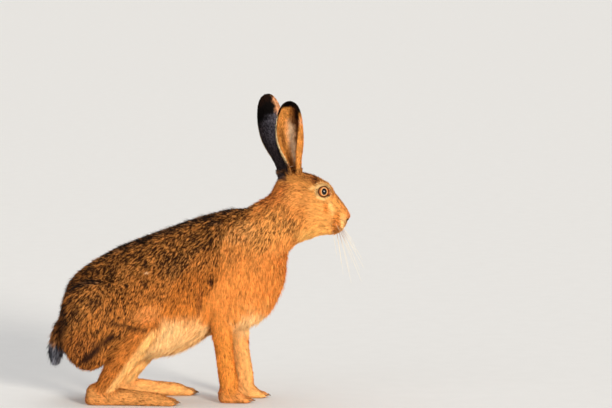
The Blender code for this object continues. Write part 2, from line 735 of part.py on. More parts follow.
def face(head, helpers):
    """Cuts the ears' seats, sockets, nostrils and mouth into the head, and adds the lids."""
    seats = add_helpers("ear_seats", helpers)
    for ear in EARS.values():
        foot, along, _, _ = ear_frame(ear)
        bm = bmesh.new()
        bmesh.ops.create_cone(
            bm,
            cap_ends=True,
            segments=24,
            radius1=EAR_SEAT_RADIUS,
            radius2=EAR_SEAT_RADIUS,
            depth=EAR_SEAT_DEPTH,
        )
        bm.transform(facing(foot + along * EAR_SEAT_DEPTH / 2, along))
        new_object("ear_seat", bm, seats)
    combine(head, "DIFFERENCE", seats, "seats")
    lids = add_helpers("lids", helpers)
    sockets = add_helpers("sockets", helpers)
    nostrils = add_helpers("nostrils", helpers)
    for side in (RIGHT, LEFT):
        lid("lid", side, lids)
        ball("socket", sided(EYE_CENTRE, side), EYE_RADIUS + GAP, sided(EYE_LOOK, side), sockets)
        place, radii, roll, yaw = NOSTRIL
        bm = bmesh.new()
        bmesh.ops.create_uvsphere(bm, u_segments=12, v_segments=8, radius=1.0)
        yawed = Matrix.Rotation(-side * math.radians(yaw), 4, "Z")
        rolled = Matrix.Rotation(side * math.radians(roll), 4, "X")
        placed = Matrix.Translation(head.closest_point_on_mesh(sided(place, side))[1])
        bm.transform(placed @ yawed @ rolled @ Matrix.Diagonal((*radii, 1.0)))
        new_object("nostril", bm, nostrils)
    combine(head, "UNION", lids, "lids")
    combine(head, "DIFFERENCE", sockets, "sockets")
    combine(head, "DIFFERENCE", nostrils, "nostrils")
    line = [sided(point, RIGHT) for point in MOUTH_LINE[:0:-1]] + [Vector(point) for point in MOUTH_LINE]
    grooves = {"mouth": (line, MOUTH_GROOVE), "lip_split": (LIP_SPLIT, LIP_SPLIT_GROOVE)}
    for name, (points, radius) in grooves.items():
        on_skin = [head.closest_point_on_mesh(point)[1] for point in points]
        combine(head, "DIFFERENCE", tube(name, on_skin, radius, helpers), name)


def add_claws(foot, helpers):
    """Joins claws to the toes of a foot."""
    hind = foot.name.startswith("hind")
    side = RIGHT if foot.name.endswith("right") else LEFT
    stations, toe = (HIND_FOOT, HIND_TOE) if hind else (FORE_PAW, FORE_TOE)
    forward = 0.0 if side == RIGHT else (LEFT_HIND_FORWARD if hind else LEFT_FORE_FORWARD)
    claws = add_helpers(f"claws_{foot.name}", helpers)
    for _, tip in toe_tips(stations, toe, side, forward):
        claw(tip + CLAW_START, (1, 0, 0), claws)
    combine(foot, "UNION", claws, "claws")


def finish(collection, helpers):
    """Gives each piece its material, and sets the whole down on the floor, centred."""
    coats = {"chest": "chest", "shoulder": "flank", "forearm": "chest", "forepaw": "chest", "head": "face"}
    coats |= {"neck": "chest", "abdomen": "flank", "rump": "back", "thigh": "flank", "shank": "flank"}
    coats |= {"hindfoot": "flank", "tail": "tail", "ear": "ear", "eye": "eye"}
    for piece in collection.objects:
        piece.data.materials.clear()
        coat = coats[piece.name.split("_")[0]]
        piece.data.materials.append(coat_material(coat, 0.1 if coat == "eye" else 0.85))
    bpy.context.view_layer.update()
    graph = bpy.context.evaluated_depsgraph_get()
    corners = []
    for piece in collection.objects:
        mesh = piece.evaluated_get(graph).to_mesh()
        corners += [vert.co.copy() for vert in mesh.vertices]
    low = [min(corner[i] for corner in corners) for i in range(3)]
    high = [max(corner[i] for corner in corners) for i in range(3)]
    shift = Matrix.Translation((-(low[0] + high[0]) / 2, -(low[1] + high[1]) / 2, -low[2]))
    for thing in [*collection.objects, *helpers.all_objects]:
        thing.data.transform(shift)
        thing.data.update()


def main():
    clear_scene()
    collection = bpy.data.collections.new("brown_hare")
    bpy.context.scene.collection.children.link(collection)
    helpers = add_helpers("helpers", bpy.context.scene.collection)
    head, feet = part_body(fused_body(collection))
    face(head, helpers)
    for foot in feet:
        add_claws(foot, helpers)
    for name, ear in EARS.items():
        make_ear(name, ear, collection)
    for name, side in (("eye_right", RIGHT), ("eye_left", LEFT)):
        ball(name, sided(EYE_CENTRE, side), EYE_RADIUS, sided(EYE_LOOK, side), collection)
    finish(collection, helpers)
    for helper in helpers.all_objects:
        helper.hide_render = True
        helper.display_type = "WIRE"


main()
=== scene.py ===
"""The looks of the brown hare: one skin over all its flesh, a coat of fine tufts that follow its lie,
and the eyes, whiskers and claws. Metres, +Z up, the hare facing +X, so that -Y is its right side.
"""

import math

import bpy
import numpy as np
from mathutils import Matrix, Vector
from mathutils.bvhtree import BVHTree


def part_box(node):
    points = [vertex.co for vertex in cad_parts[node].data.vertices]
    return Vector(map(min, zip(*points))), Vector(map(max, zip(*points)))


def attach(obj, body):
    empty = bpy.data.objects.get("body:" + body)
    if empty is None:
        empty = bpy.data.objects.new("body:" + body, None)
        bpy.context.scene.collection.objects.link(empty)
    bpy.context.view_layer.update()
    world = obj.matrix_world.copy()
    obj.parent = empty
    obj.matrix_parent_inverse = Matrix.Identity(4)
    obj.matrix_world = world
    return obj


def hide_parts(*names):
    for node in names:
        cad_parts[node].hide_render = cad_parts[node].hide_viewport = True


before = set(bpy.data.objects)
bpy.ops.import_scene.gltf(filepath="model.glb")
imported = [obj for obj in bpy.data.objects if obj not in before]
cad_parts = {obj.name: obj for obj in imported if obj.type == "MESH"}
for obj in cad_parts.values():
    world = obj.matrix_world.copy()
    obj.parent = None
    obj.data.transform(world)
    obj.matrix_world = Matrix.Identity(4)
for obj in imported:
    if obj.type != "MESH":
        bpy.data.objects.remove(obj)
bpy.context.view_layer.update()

RIGHT, LEFT = -1, 1

# The eye in the frame that all sizes below are given in, and so how far that frame has been moved
EYE_CENTRE = (0.1838, 0.0174, 0.3150)
EYE_LOOK = (0.26, 1.0, 0.12)
EYE_RADIUS = 0.0098
SHIFT = np.mean([np.array(corner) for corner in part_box("eye_left")], axis=0) - EYE_CENTRE

# The left legs stand this much further forward
LEFT_HIND_FORWARD = 0.024
LEFT_FORE_FORWARD = 0.0225

# The runs of the body that the hair lies along: where each starts and ends, how thick it is there, and
# then its hair: length, depth of the coat, width of a tuft, tufts per square millimetre, size of a lock
RUNS = {
    "muzzle": ((0.2240, 0, 0.272), (0.1930, 0, 0.292), 0.017, 0.0034, 0.0010, 0.00047, 7.3, 0.0009),
    "face": ((0.2000, 0, 0.280), (0.1500, 0, 0.296), 0.030, 0.0054, 0.0018, 0.00054, 6.0, 0.0012),
    "crown": ((0.1750, 0, 0.315), (0.1250, 0, 0.318), 0.026, 0.0070, 0.0026, 0.00057, 5.1, 0.0012),
    "throat": ((0.1900, 0, 0.262), (0.1400, 0, 0.255), 0.015, 0.0076, 0.0028, 0.00059, 4.4, 0.0013),
    "neck": ((0.1280, 0, 0.288), (0.0700, 0, 0.215), 0.043, 0.0080, 0.0040, 0.00060, 2.8, 0.0013),
    "chest": ((0.1050, 0, 0.235), (0.0850, 0, 0.130), 0.036, 0.0105, 0.0050, 0.00070, 2.4, 0.0015),
    "back": ((0.0500, 0, 0.235), (-0.1850, 0, 0.125), 0.050, 0.0080, 0.0050, 0.00064, 2.4, 0.0015),
    "belly": ((0.0300, 0, 0.130), (-0.1500, 0, 0.080), 0.034, 0.0150, 0.0056, 0.00074, 1.8, 0.0019),
    "rump": ((-0.1500, 0, 0.200), (-0.1860, 0, 0.104), 0.031, 0.0082, 0.0048, 0.00064, 2.4, 0.0015),
    "tail": ((-0.2050, 0, 0.118), (-0.2155, 0, 0.060), 0.011, 0.0150, 0.0050, 0.00062, 2.9, 0.0015),
}
PAIRED_RUNS = {
    "flank": ((0.0150, 0.036, 0.205), (-0.0800, 0.036, 0.095), 0.026, 0.0082, 0.0048, 0.00064, 2.4, 0.0015),
    "shoulder": ((0.0580, 0.028, 0.23), (0.0350, 0.032, 0.125), 0.027, 0.0076, 0.0040, 0.00066, 2.7, 0.0013),
    "thigh": ((-0.0750, 0.042, 0.17), (-0.1650, 0.042, 0.08), 0.034, 0.0080, 0.0044, 0.00064, 2.4, 0.0015),
    "foreleg": ((0.0300, 0.033, 0.125), (0.044, 0.0275, 0.02), 0.014, 0.0062, 0.0020, 0.00061, 2.9, 0.0012),
    "forepaw": ((0.0360, 0.027, 0.014), (0.076, 0.027, 0.005), 0.011, 0.0044, 0.0013, 0.00057, 3.4, 0.0011),
    "shank": ((-0.0740, 0.056, 0.12), (-0.138, 0.051, 0.03), 0.018, 0.0074, 0.0030, 0.00066, 2.4, 0.0013),
    "hindfoot": ((-0.158, 0.050, 0.015), (-0.042, 0.054, 0.005), 0.012, 0.0052, 0.0017, 0.00061, 2.8, 0.0012),
}
EAR_HAIR = (0.0034, 0.0007, 0.00044, 3.7, 0.0012)
SET_FORWARD = {
    "foreleg": LEFT_FORE_FORWARD,
    "forepaw": LEFT_FORE_FORWARD,
    "shank": LEFT_HIND_FORWARD,
    "hindfoot": LEFT_HIND_FORWARD,
}
LENGTH, DEPTH, WIDTH, DENSITY, LOCK = range(5)
RUN_SOFTNESS = 0.006


def all_runs():
    """Every run with its side, in the frame's own place: name, side, start, end, thickness, hair."""
    found = []
    for name, (start, end, thick, *hair) in (RUNS | PAIRED_RUNS).items():
        for side in (RIGHT, LEFT) if name in PAIRED_RUNS else (0,):
            forward = SET_FORWARD.get(name, 0.0) if side == LEFT else 0.0
            ends = [np.array((x + forward, side * y, z)) + SHIFT for x, y, z in (start, end)]
            found.append((name, side, *ends, thick, hair))
    return found


ALL_RUNS = all_runs()
RUN_HAIR = np.array([run[5] for run in ALL_RUNS])
RUN_LIE = np.array([(run[3] - run[2]) / np.linalg.norm(run[3] - run[2]) for run in ALL_RUNS])


def unit(vectors):
    return vectors / np.maximum(np.linalg.norm(vectors, axis=-1, keepdims=True), 1e-12)


def dot(a, b):
    return np.sum(a * b, axis=-1)


def ramp(values, low, high):
    """From 0 at low to 1 at high, smooth at both ends."""
    t = np.clip((values - low) / (high - low), 0.0, 1.0)
    return t * t * (3 - 2 * t)


def mix(a, b, share):
    share = np.asarray(share)
    if np.ndim(a) > 1 or np.ndim(b) > 1 or np.shape(a) == (3,):
        share = share[..., None]
    return a + (b - a) * share


def srgb(red, green, blue):
    """A colour as a screen shows it, from 0 to 255, as linear light."""
    value = np.array([red, green, blue]) / 255
    return np.where(value > 0.04045, ((value + 0.055) / 1.055) ** 2.4, value / 12.92)


def lattice(cell, seed):
    """An even spread from 0 to 1, the same each run, by the whole numbers of a cell."""
    h = cell[:, 0] * 374761393 + cell[:, 1] * 668265263 + cell[:, 2] * 1442695041 + seed * 1274126177
    h = ((h ^ (h >> 13)) * 1103515245) & 0xFFFFFFFF
    h = ((h ^ (h >> 16)) * 2246822519) & 0xFFFFFFFF
    return ((h ^ (h >> 15)) & 0xFFFFFF) / 0xFFFFFF


def noise(points, size, seed):
    """Smooth noise from 0 to 1 with lumps about as big as size."""
    scaled = points / size + 1000.0
    cell = np.floor(scaled).astype(np.int64)
    t = scaled - cell
    t = t * t * (3 - 2 * t)
    total = np.zeros(len(points))
    for corner in np.ndindex(2, 2, 2):
        share = np.prod(np.where(corner, t, 1 - t), axis=1)
        total += share * lattice(cell + corner, seed)
    return total


def run_weights(points):
    """How much each run of the body holds each point."""
    weights = np.empty((len(points), len(ALL_RUNS)))
    for i, (_, _, start, end, thick, _) in enumerate(ALL_RUNS):
        run = end - start
        t = np.clip((points - start) @ run / (run @ run), 0, 1)
        apart = np.linalg.norm(points - start - t[:, None] * run, axis=1) - thick
        weights[:, i] = 1 / (np.maximum(apart, 0) + RUN_SOFTNESS) ** 4
    return weights / weights.sum(axis=1, keepdims=True)


# The ears: foot on the head, and how far each leans back, splays out and turns forward, in degrees
EAR_LENGTH = 0.1170
EAR_GAP = 0.0003
EARS = {
    RIGHT: {"foot": (0.1420, 0.0165, 0.344), "lean": 3.3, "splay": 25.0, "turn": -4.0},
    LEFT: {"foot": (0.1275, 0.0165, 0.343), "lean": 13.5, "splay": 9.0, "turn": 10.0},
}
# Along the cup of an ear: share of its length, half width, half depth, where the back and front rims
# end in degrees round from the middle of its back, and how far its middle bows back
EAR_SECTIONS = np.array(
    [
        (-0.10, 0.0076, 0.0074, 152.0, 156.0, 0.0000),
        (0.00, 0.0084, 0.0082, 152.0, 156.0, 0.0000),
        (0.10, 0.0092, 0.0088, 148.0, 156.0, 0.0004),
        (0.20, 0.0112, 0.0094, 134.0, 152.0, 0.0014),
        (0.32, 0.0150, 0.0102, 118.0, 148.0, 0.0026),
        (0.46, 0.0180, 0.0104, 108.0, 142.0, 0.0036),
        (0.60, 0.0184, 0.0096, 102.0, 134.0, 0.0036),
        (0.74, 0.0172, 0.0082, 98.0, 124.0, 0.0028),
        (0.86, 0.0144, 0.0062, 94.0, 112.0, 0.0018),
        (0.94, 0.0106, 0.0044, 90.0, 102.0, 0.0010),
        (0.98, 0.0066, 0.0030, 86.0, 94.0, 0.0006),
        (1.00, 0.0016, 0.0018, 84.0, 88.0, 0.0004),
    ]
)
EAR_ROWS = 96
EAR_ACROSS = 40
EAR_INNER = 0.0006
EAR_OUTER = 0.0017


def ear_frame(side):
    """An ear's foot, the way it points, the way its front rim lies, and the way its back faces."""
    ear = EARS[side]
    x, y, z = ear["foot"]
    lean, splay = math.radians(ear["lean"]), math.radians(ear["splay"])
    along = Vector((-math.sin(lean), side * math.sin(splay), math.cos(lean) * math.cos(splay))).normalized()
    back = Vector((0, -side, 0))
    back = (back - along * back.dot(along)).normalized()
    back = Matrix.Rotation(-side * math.radians(ear["turn"]), 3, along) @ back
    front = back.cross(along) * -side
    return np.array((x, side * y, z)) + SHIFT, np.array(along), np.array(front), np.array(back)


def ear_section(share):
    """The sizes of the cup at each share of the ear's length, on a smooth curve through the sections."""
    shares = EAR_SECTIONS[:, 0]
    place = np.clip(np.searchsorted(shares, share, side="right") - 1, 0, len(shares) - 2)
    t = (share - shares[place]) / (shares[place + 1] - shares[place])
    before, after = np.maximum(place - 1, 0), np.minimum(place + 2, len(shares) - 1)
    a, b, c, d = (EAR_SECTIONS[i, 1:] for i in (before, place, place + 1, after))
    span = (shares[place + 1] - shares[place])[:, None]
    slope_in = (c - a) / (shares[place + 1] - shares[before])[:, None] * span
    slope_out = (d - b) / (shares[after] - shares[place])[:, None] * span
    t = np.clip(t, 0, 1)[:, None]
    return (
        b * (2 * t**3 - 3 * t**2 + 1)
        + slope_in * (t**3 - 2 * t**2 + t)
        + c * (3 * t**2 - 2 * t**3)
        + slope_out * (t**3 - t**2)
    ).T


def ear_places(points, side):
    """Where points lie on an ear: share of its length, degrees round from its back, and how far out."""
    foot, along, front, back = ear_frame(side)
    offset = points - foot
    share = (offset @ along - EAR_GAP) / EAR_LENGTH
    half_width, half_depth, back_rim, front_rim, bow = ear_section(np.clip(share, -0.1, 1.0))
    across = (offset @ front + bow) / half_width
    behind = (offset @ back) / half_depth
    angle = np.degrees(np.arctan2(across, behind))
    edge = np.where(angle < 0, back_rim, front_rim)
    return share, angle, np.hypot(across, behind), 1 - np.abs(angle) / edge


def new_object(name, mesh):
    thing = bpy.data.objects.new(name, mesh)
    bpy.context.scene.collection.objects.link(thing)
    return thing


def mesh_of(name, points, faces):
    """A smooth-shaded mesh from arrays, its faces all with the same number of corners."""
    mesh = bpy.data.meshes.new(name)
    faces = np.ascontiguousarray(faces, np.int32)
    mesh.vertices.add(len(points))
    mesh.vertices.foreach_set("co", np.ascontiguousarray(points, np.float32).ravel())
    mesh.loops.add(faces.size)
    mesh.loops.foreach_set("vertex_index", faces.ravel())
    mesh.polygons.add(len(faces))
    mesh.polygons.foreach_set("loop_start", np.arange(0, faces.size, faces.shape[1], dtype=np.int32))
    mesh.update(calc_edges=True)
    mesh.shade_smooth()
    return mesh


def points_of(mesh):
    points = np.empty(len(mesh.vertices) * 3, np.float32)
    mesh.vertices.foreach_get("co", points)
    return points.reshape(-1, 3).astype(np.float64)


def triangles_of(mesh):
    mesh.calc_loop_triangles()
    triangles = np.empty(len(mesh.loop_triangles) * 3, np.int32)
    mesh.loop_triangles.foreach_get("vertices", triangles)
    return triangles.reshape(-1, 3)


def normals_of(points, triangles):
    """The normal at each point, by the area of the triangles that meet there."""
    a, b, c = (points[triangles[:, i]] for i in range(3))
    face = np.cross(b - a, c - a)
    total = np.empty_like(points)
    for axis in range(3):
        spread = np.repeat(face[:, axis], 3)
        total[:, axis] = np.bincount(triangles.ravel(), weights=spread, minlength=len(points))
    return unit(total)


def smoothed(points, triangles, values, steps, share=0.5):
    """The values at each point moved towards those of its neighbours, a few times over."""
    ends = np.concatenate([triangles, triangles[:, ::-1]])
    start = ends[:, [0, 1, 2]].ravel()
    end = ends[:, [1, 2, 0]].ravel()
    count = np.maximum(np.bincount(start, minlength=len(points)), 1)
    values = values.copy()
    for _ in range(steps):
        for axis in range(values.shape[1]):
            near = np.bincount(start, weights=values[end, axis], minlength=len(points)) / count
            values[:, axis] += share * (near - values[:, axis])
    return values


def applied(thing):
    """Replaces an object's mesh by what its modifiers make of it."""
    graph = bpy.context.evaluated_depsgraph_get()
    mesh = bpy.data.meshes.new_from_object(thing.evaluated_get(graph))
    old = thing.data
    thing.modifiers.clear()
    thing.data = mesh
    bpy.data.meshes.remove(old)


def combine(thing, operation, others):
    """Joins closed meshes to an object, or carves them out of it, and removes them."""
    helpers = bpy.data.collections.new("helpers")
    bpy.context.scene.collection.children.link(helpers)
    for other in others:
        bpy.context.scene.collection.objects.unlink(other)
        helpers.objects.link(other)
    step = thing.modifiers.new(operation, "BOOLEAN")
    step.operation = operation
    step.operand_type = "COLLECTION"
    step.collection = helpers
    step.solver = "MANIFOLD"
    before = len(thing.data.vertices)
    applied(thing)
    if len(thing.data.vertices) == before:
        raise RuntimeError(f"{operation} did nothing")
    for other in others:
        bpy.data.objects.remove(other)
    bpy.data.collections.remove(helpers)


# The grid that fuses the skin, and how far each node is grown first, which closes the cuts between them
SKIN_GRID = 0.0012
CLOSE_CUTS = 0.0005
WELD = 1e-5
EYE_FILL = 0.0092
# Soft forms under the skin: middle (given for the left) and radii
PADS = {
    "brow": ((0.1830, 0.0130, 0.3215), (0.0130, 0.0088, 0.0068)),
    "nose": ((0.2188, 0.0000, 0.2764), (0.0069, 0.0102, 0.0066)),
    "throat": ((0.1190, 0.0000, 0.2170), (0.0135, 0.0180, 0.0220)),
}
SKIN_SMOOTHING = 5
SKIN_LOWEST = 0.0008
EYE_SEGMENTS = 48


def welded(mesh):
    """A CAD node's points and triangles, with the points that its sharp edges repeat made one."""
    points = points_of(mesh)
    _, first, index = np.unique(
        np.round(points / WELD).astype(np.int64), axis=0, return_index=True, return_inverse=True
    )
    triangles = index.reshape(-1)[triangles_of(mesh)]
    whole = (triangles != np.roll(triangles, 1, axis=1)).all(axis=1)
    return points[first], triangles[whole]


def facing(place, look):
    """A matrix that sets +Z to look, and moves the origin to place."""
    turn = Vector((0, 0, 1)).rotation_difference(Vector(look).normalized())
    return Matrix.Translation(place) @ turn.to_matrix().to_4x4()


def sided(point, side):
    """A point given for the left, on the side that is asked for, in the frame's own place."""
    x, y, z = point
    return np.array((x, side * y, z)) + SHIFT


def ball(centre, radius, segments=EYE_SEGMENTS):
    """A closed ball of triangles: its points and its faces."""
    rings = segments // 2
    polar = np.linspace(0, math.pi, rings + 1)[1:-1]
    turn = np.arange(segments) * 2 * math.pi / segments
    ring = np.stack([np.cos(turn), np.sin(turn)], axis=1)
    points = [np.column_stack([ring * math.sin(p), np.full(segments, math.cos(p))]) for p in polar]
    points = np.concatenate([*points, [[0, 0, 1]], [[0, 0, -1]]]) * radius + centre
    faces = []
    i = np.arange(segments)
    j = (i + 1) % segments
    for row in range(len(polar) - 1):
        here, there = row * segments, (row + 1) * segments
        faces.append(np.stack([here + i, there + i, there + j], axis=1))
        faces.append(np.stack([here + i, there + j, here + j], axis=1))
    top, bottom = len(points) - 2, len(points) - 1
    last = (len(polar) - 1) * segments
    faces.append(np.stack([np.full(segments, top), i, j], axis=1))
    faces.append(np.stack([np.full(segments, bottom), last + j, last + i], axis=1))
    return points, np.concatenate(faces)


def joined(parts):
    """Several sets of points and triangles as one."""
    points, faces, start = [], [], 0
    for part_points, part_faces in parts:
        points.append(part_points)
        faces.append(part_faces + start)
        start += len(part_points)
    return np.concatenate(points), np.concatenate(faces)


def make_core():
    """All the flesh but the ears as one closed surface, drawn in by the depth of the coat."""
    parts = []
    for name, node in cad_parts.items():
        if name.startswith(("eye", "ear")):
            continue
        points, triangles = welded(node.data)
        parts.append((points + normals_of(points, triangles) * CLOSE_CUTS, triangles))
    for side in (RIGHT, LEFT):
        parts.append(ball(sided(EYE_CENTRE, side), EYE_FILL))
        for middle, radii in PADS.values():
            parts.append(ball(sided(middle, side), np.array(radii)))
    core = new_object("skin", mesh_of("skin", *joined(parts)))
    remesh = core.modifiers.new("fuse", "REMESH")
    remesh.mode = "VOXEL"
    remesh.voxel_size = SKIN_GRID
    applied(core)
    points, triangles = points_of(core.data), triangles_of(core.data)
    points = smoothed(points, triangles, points, SKIN_SMOOTHING)
    weights = run_weights(points)
    depth = (weights @ RUN_HAIR[:, DEPTH])[:, None]
    depth = smoothed(points, triangles, depth, SKIN_SMOOTHING)
    inward = smoothed(points, triangles, normals_of(points, triangles), SKIN_SMOOTHING)
    points -= unit(inward) * depth
    points = smoothed(points, triangles, points, SKIN_SMOOTHING)
    points[:, 2] = np.maximum(points[:, 2], SKIN_LOWEST)
    core.data.vertices.foreach_set("co", points.astype(np.float32).ravel())
    return core


def make_ear(side):
    """The skin of an ear, as a thin closed leaf that is rolled round its foot."""
    foot, along, front, back = ear_frame(side)
    share = 1 - np.linspace(1, 0, EAR_ROWS) ** 1.6 * 1.1
    half_width, half_depth, back_rim, front_rim, bow = ear_section(share)
    t = np.linspace(0, 1, EAR_ACROSS)[None, :]
    angle = np.radians(-back_rim[:, None] + (back_rim + front_rim)[:, None] * t)
    spine = foot + along * (EAR_GAP + EAR_LENGTH * share)[:, None]
    across = half_width[:, None] * np.sin(angle) - bow[:, None]
    behind = half_depth[:, None] * np.cos(angle)
    sheet = spine[:, None, :] + front * across[..., None] + back * behind[..., None]
    along_rows = np.gradient(sheet, axis=0)
    along_cols = np.gradient(sheet, axis=1)
    outward = unit(np.cross(along_cols, along_rows)) * side
    axis = spine[:, None, :] - front * bow[:, None, None]
    outward *= np.sign(dot(outward, sheet - axis))[..., None]
    rim = np.sin(np.pi * np.clip(np.minimum(t, 1 - t) * 8, 0, 0.5))[..., None]
    middle = 0.5 * (EAR_INNER + EAR_OUTER)
    half = 0.5 * (EAR_OUTER - EAR_INNER) * (0.45 + 0.55 * rim)
    inner = sheet + outward * (middle - half)
    outer = sheet + outward * (middle + half)
    points = np.concatenate([inner.reshape(-1, 3), outer.reshape(-1, 3)])
    rows, cols = EAR_ROWS, EAR_ACROSS
    index = np.arange(rows * cols).reshape(rows, cols)
    quad = np.stack([index[:-1, :-1], index[:-1, 1:], index[1:, 1:], index[1:, :-1]], axis=-1).reshape(-1, 4)
    out = rows * cols
    faces = [quad, quad[:, ::-1] + out]
    edge = np.concatenate([index[0, :], index[1:, -1], index[-1, -2::-1], index[-2:0:-1, 0]])
    after = np.roll(edge, -1)
    faces.append(np.stack([after, edge, edge + out, after + out], axis=1))
    faces = np.concatenate(faces)
    triangles = np.concatenate([faces[:, [0, 1, 2]], faces[:, [0, 2, 3]]])
    a, b, c = (points[triangles[:, i]] for i in range(3))
    if dot(a, np.cross(b, c)).sum() < 0:
        triangles = triangles[:, ::-1]
    return new_object("ear", mesh_of("ear", points, triangles))


# The lids: degrees from the middle of the eye out to their edge, how much further the edge lies at the
# front and back corners, and the rim's profile as height off the eyeball and degrees out from the edge
LID_EDGE = 47.5
LID_FRONT_CORNER = (8.0, 22.0)
LID_BACK_CORNER = (5.0, 34.0)
LID_TOP_DROOP = 2.0
LID_PROFILE = [
    (-0.0006, 1.0),
    (0.0001, 0.0),
    (0.0006, 0.8),
    (0.0010, 3.5),
    (0.0013, 7.5),
    (0.0013, 12.0),
    (0.0009, 17.0),
    (0.0002, 23.0),
    (-0.0010, 30.0),
    (-0.0030, 33.0),
    (-0.0030, 12.0),
]
LID_AROUND = 96
EYE_CLEARANCE = 0.00012


def eye_axes(side):
    """The way an eye looks, then forwards and up across it."""
    look = unit(np.array([EYE_LOOK[0], side * EYE_LOOK[1], EYE_LOOK[2]]))
    forward = unit(np.array([1.0, 0, 0]) - look * look[0])
    up = np.cross(look, forward)
    return look, forward, up * np.sign(up[2])


def lid_edge(turn):
    """Degrees from the middle of the eye to the edge of the lids, at each turn from the front corner."""
    degrees = np.degrees(np.abs(np.angle(np.exp(1j * turn))))
    front = LID_FRONT_CORNER[0] * np.exp(-((degrees / LID_FRONT_CORNER[1]) ** 2))
    back = LID_BACK_CORNER[0] * np.exp(-(((180 - degrees) / LID_BACK_CORNER[1]) ** 2))
    return LID_EDGE + front + back - LID_TOP_DROOP * np.maximum(np.sin(turn), 0) ** 2


def ring_faces(around, across):
    """The quads of a closed ring of closed sections, split into triangles."""
    i, j = np.meshgrid(np.arange(around), np.arange(across), indexing="ij")
    here, there = i * across + j, ((i + 1) % around) * across + j
    k = (j + 1) % across
    here_next, there_next = i * across + k, ((i + 1) % around) * across + k
    first = np.stack([here, there, there_next], axis=-1).reshape(-1, 3)
    second = np.stack([here, there_next, here_next], axis=-1).reshape(-1, 3)
    return np.concatenate([first, second])


def outwards(points, faces):
    """The faces, turned round if they face into the shape that they close."""
    a, b, c = (points[faces[:, i]] for i in range(3))
    return faces if dot(a, np.cross(b, c)).sum() > 0 else faces[:, ::-1]


def make_lids(side):
    """The rolled rim of the lids, as a closed ring round the front of the eye."""
    look, forward, up = eye_axes(side)
    turn = np.arange(LID_AROUND) * 2 * math.pi / LID_AROUND
    way = forward * np.cos(turn)[:, None] + up * np.sin(turn)[:, None]
    height, out = np.array(LID_PROFILE).T
    theta = np.radians(lid_edge(turn)[:, None] + out[None, :])
    reach = (EYE_RADIUS + height)[None, :]
    centre = sided(EYE_CENTRE, side)
    points = (
        centre
        + look * (reach * np.cos(theta))[..., None]
        + way[:, None, :] * (reach * np.sin(theta))[..., None]
    ).reshape(-1, 3)
    faces = outwards(points - centre, ring_faces(LID_AROUND, len(LID_PROFILE)))
    return new_object("lids", mesh_of("lids", points, faces))


def swept(path, radii, sides, flat=1.0):
    """A closed round rod along a path, as points and triangles."""
    path = np.asarray(path, float)
    way = unit(np.gradient(path, axis=0))
    start = np.array([0, 0, 1.0]) if abs(way[0, 2]) < 0.9 else np.array([1.0, 0, 0])
    across = unit(np.cross(way, start))
    over = np.cross(way, across)
    turn = np.arange(sides) * 2 * math.pi / sides
    ring = across[:, None, :] * np.cos(turn)[None, :, None] + over[:, None, :] * np.sin(turn)[None, :, None] * flat
    points = (path[:, None, :] + ring * np.asarray(radii)[:, None, None]).reshape(-1, 3)
    rows = len(path)
    i, j = np.meshgrid(np.arange(rows - 1), np.arange(sides), indexing="ij")
    k = (j + 1) % sides
    here, there = i * sides, (i + 1) * sides
    faces = [
        np.stack([here + j, there + j, there + k], axis=-1).reshape(-1, 3),
        np.stack([here + j, there + k, here + k], axis=-1).reshape(-1, 3),
    ]
    points = np.concatenate([points, path[:1], path[-1:]])
    j = np.arange(sides)
    k = (j + 1) % sides
    last = (rows - 1) * sides
    faces.append(np.stack([np.full(sides, rows * sides), j, k], axis=1))
    faces.append(np.stack([np.full(sides, rows * sides + 1), last + k, last + j], axis=1))
    faces = np.concatenate(faces)
    middle = points - points.mean(axis=0)
    return points, outwards(middle, faces)


# The line of the mouth on one side, the split of the lip, and the slit of a nostril
MOUTH_LINE = [
    (0.2172, 0.0000, 0.2605),
    (0.2148, 0.0062, 0.2578),
    (0.2098, 0.0120, 0.2562),
    (0.2025, 0.0172, 0.2562),
    (0.1950, 0.0200, 0.2585),
]
MOUTH_GROOVE = 0.0008
LIP_SPLIT = [(0.2225, 0.0, 0.2718), (0.2200, 0.0, 0.2672), (0.2172, 0.0, 0.2605)]
LIP_SPLIT_GROOVE = 0.0007
NOSTRIL = [(0.2240, 0.0018, 0.2712), (0.2234, 0.0050, 0.2716), (0.2220, 0.0082, 0.2724), (0.2202, 0.0108, 0.2736)]
NOSTRIL_RADII = (0.0008, 0.0014, 0.0015, 0.0008)
NOSTRIL_BARE = 0.0018
NOSE_NOTCH = [(0.2225, 0.0, 0.2692), (0.2222, 0.0060, 0.2694), (0.2212, 0.0100, 0.2700), (0.2190, 0.0130, 0.2712)]
NOSE_NOTCH_RADII = (0.0022, 0.0022, 0.0016, 0.0006)
NOSE_NOTCH_LIFT = 0.0005
GROOVE_STEPS = 24


def on_skin(points, tree, lift=0.0):
    """Points moved to the nearest place on the skin, and then off it by lift."""
    found = []
    for point in points:
        place, normal, _, _ = tree.find_nearest(Vector(point))
        found.append(np.array(place + normal * lift))
    return np.array(found)


def finer(path, steps):
    """A path with more points, along straight stretches that a few smoothings round off."""
    path = np.asarray(path, float)
    along = np.concatenate([[0], np.cumsum(np.linalg.norm(np.diff(path, axis=0), axis=1))])
    t = np.linspace(0, along[-1], steps)
    path = np.stack([np.interp(t, along, path[:, axis]) for axis in range(3)], axis=1)
    for _ in range(steps // 6):
        path[1:-1] = (path[:-2] + 2 * path[1:-1] + path[2:]) / 4
    return path


def groove(line, radii, side, tree, depth=0.0):
    path = finer([sided(point, side) for point in line], GROOVE_STEPS)
    path = on_skin(path, tree, -depth)
    t = np.linspace(0, 1, GROOVE_STEPS)
    radii = np.interp(t, np.linspace(0, 1, len(radii)), radii)
    points, faces = swept(path, radii, 8)
    return new_object("groove", mesh_of("groove", points, faces))


def tree_of(points, triangles):
    return BVHTree.FromPolygons(points.tolist(), triangles.tolist())


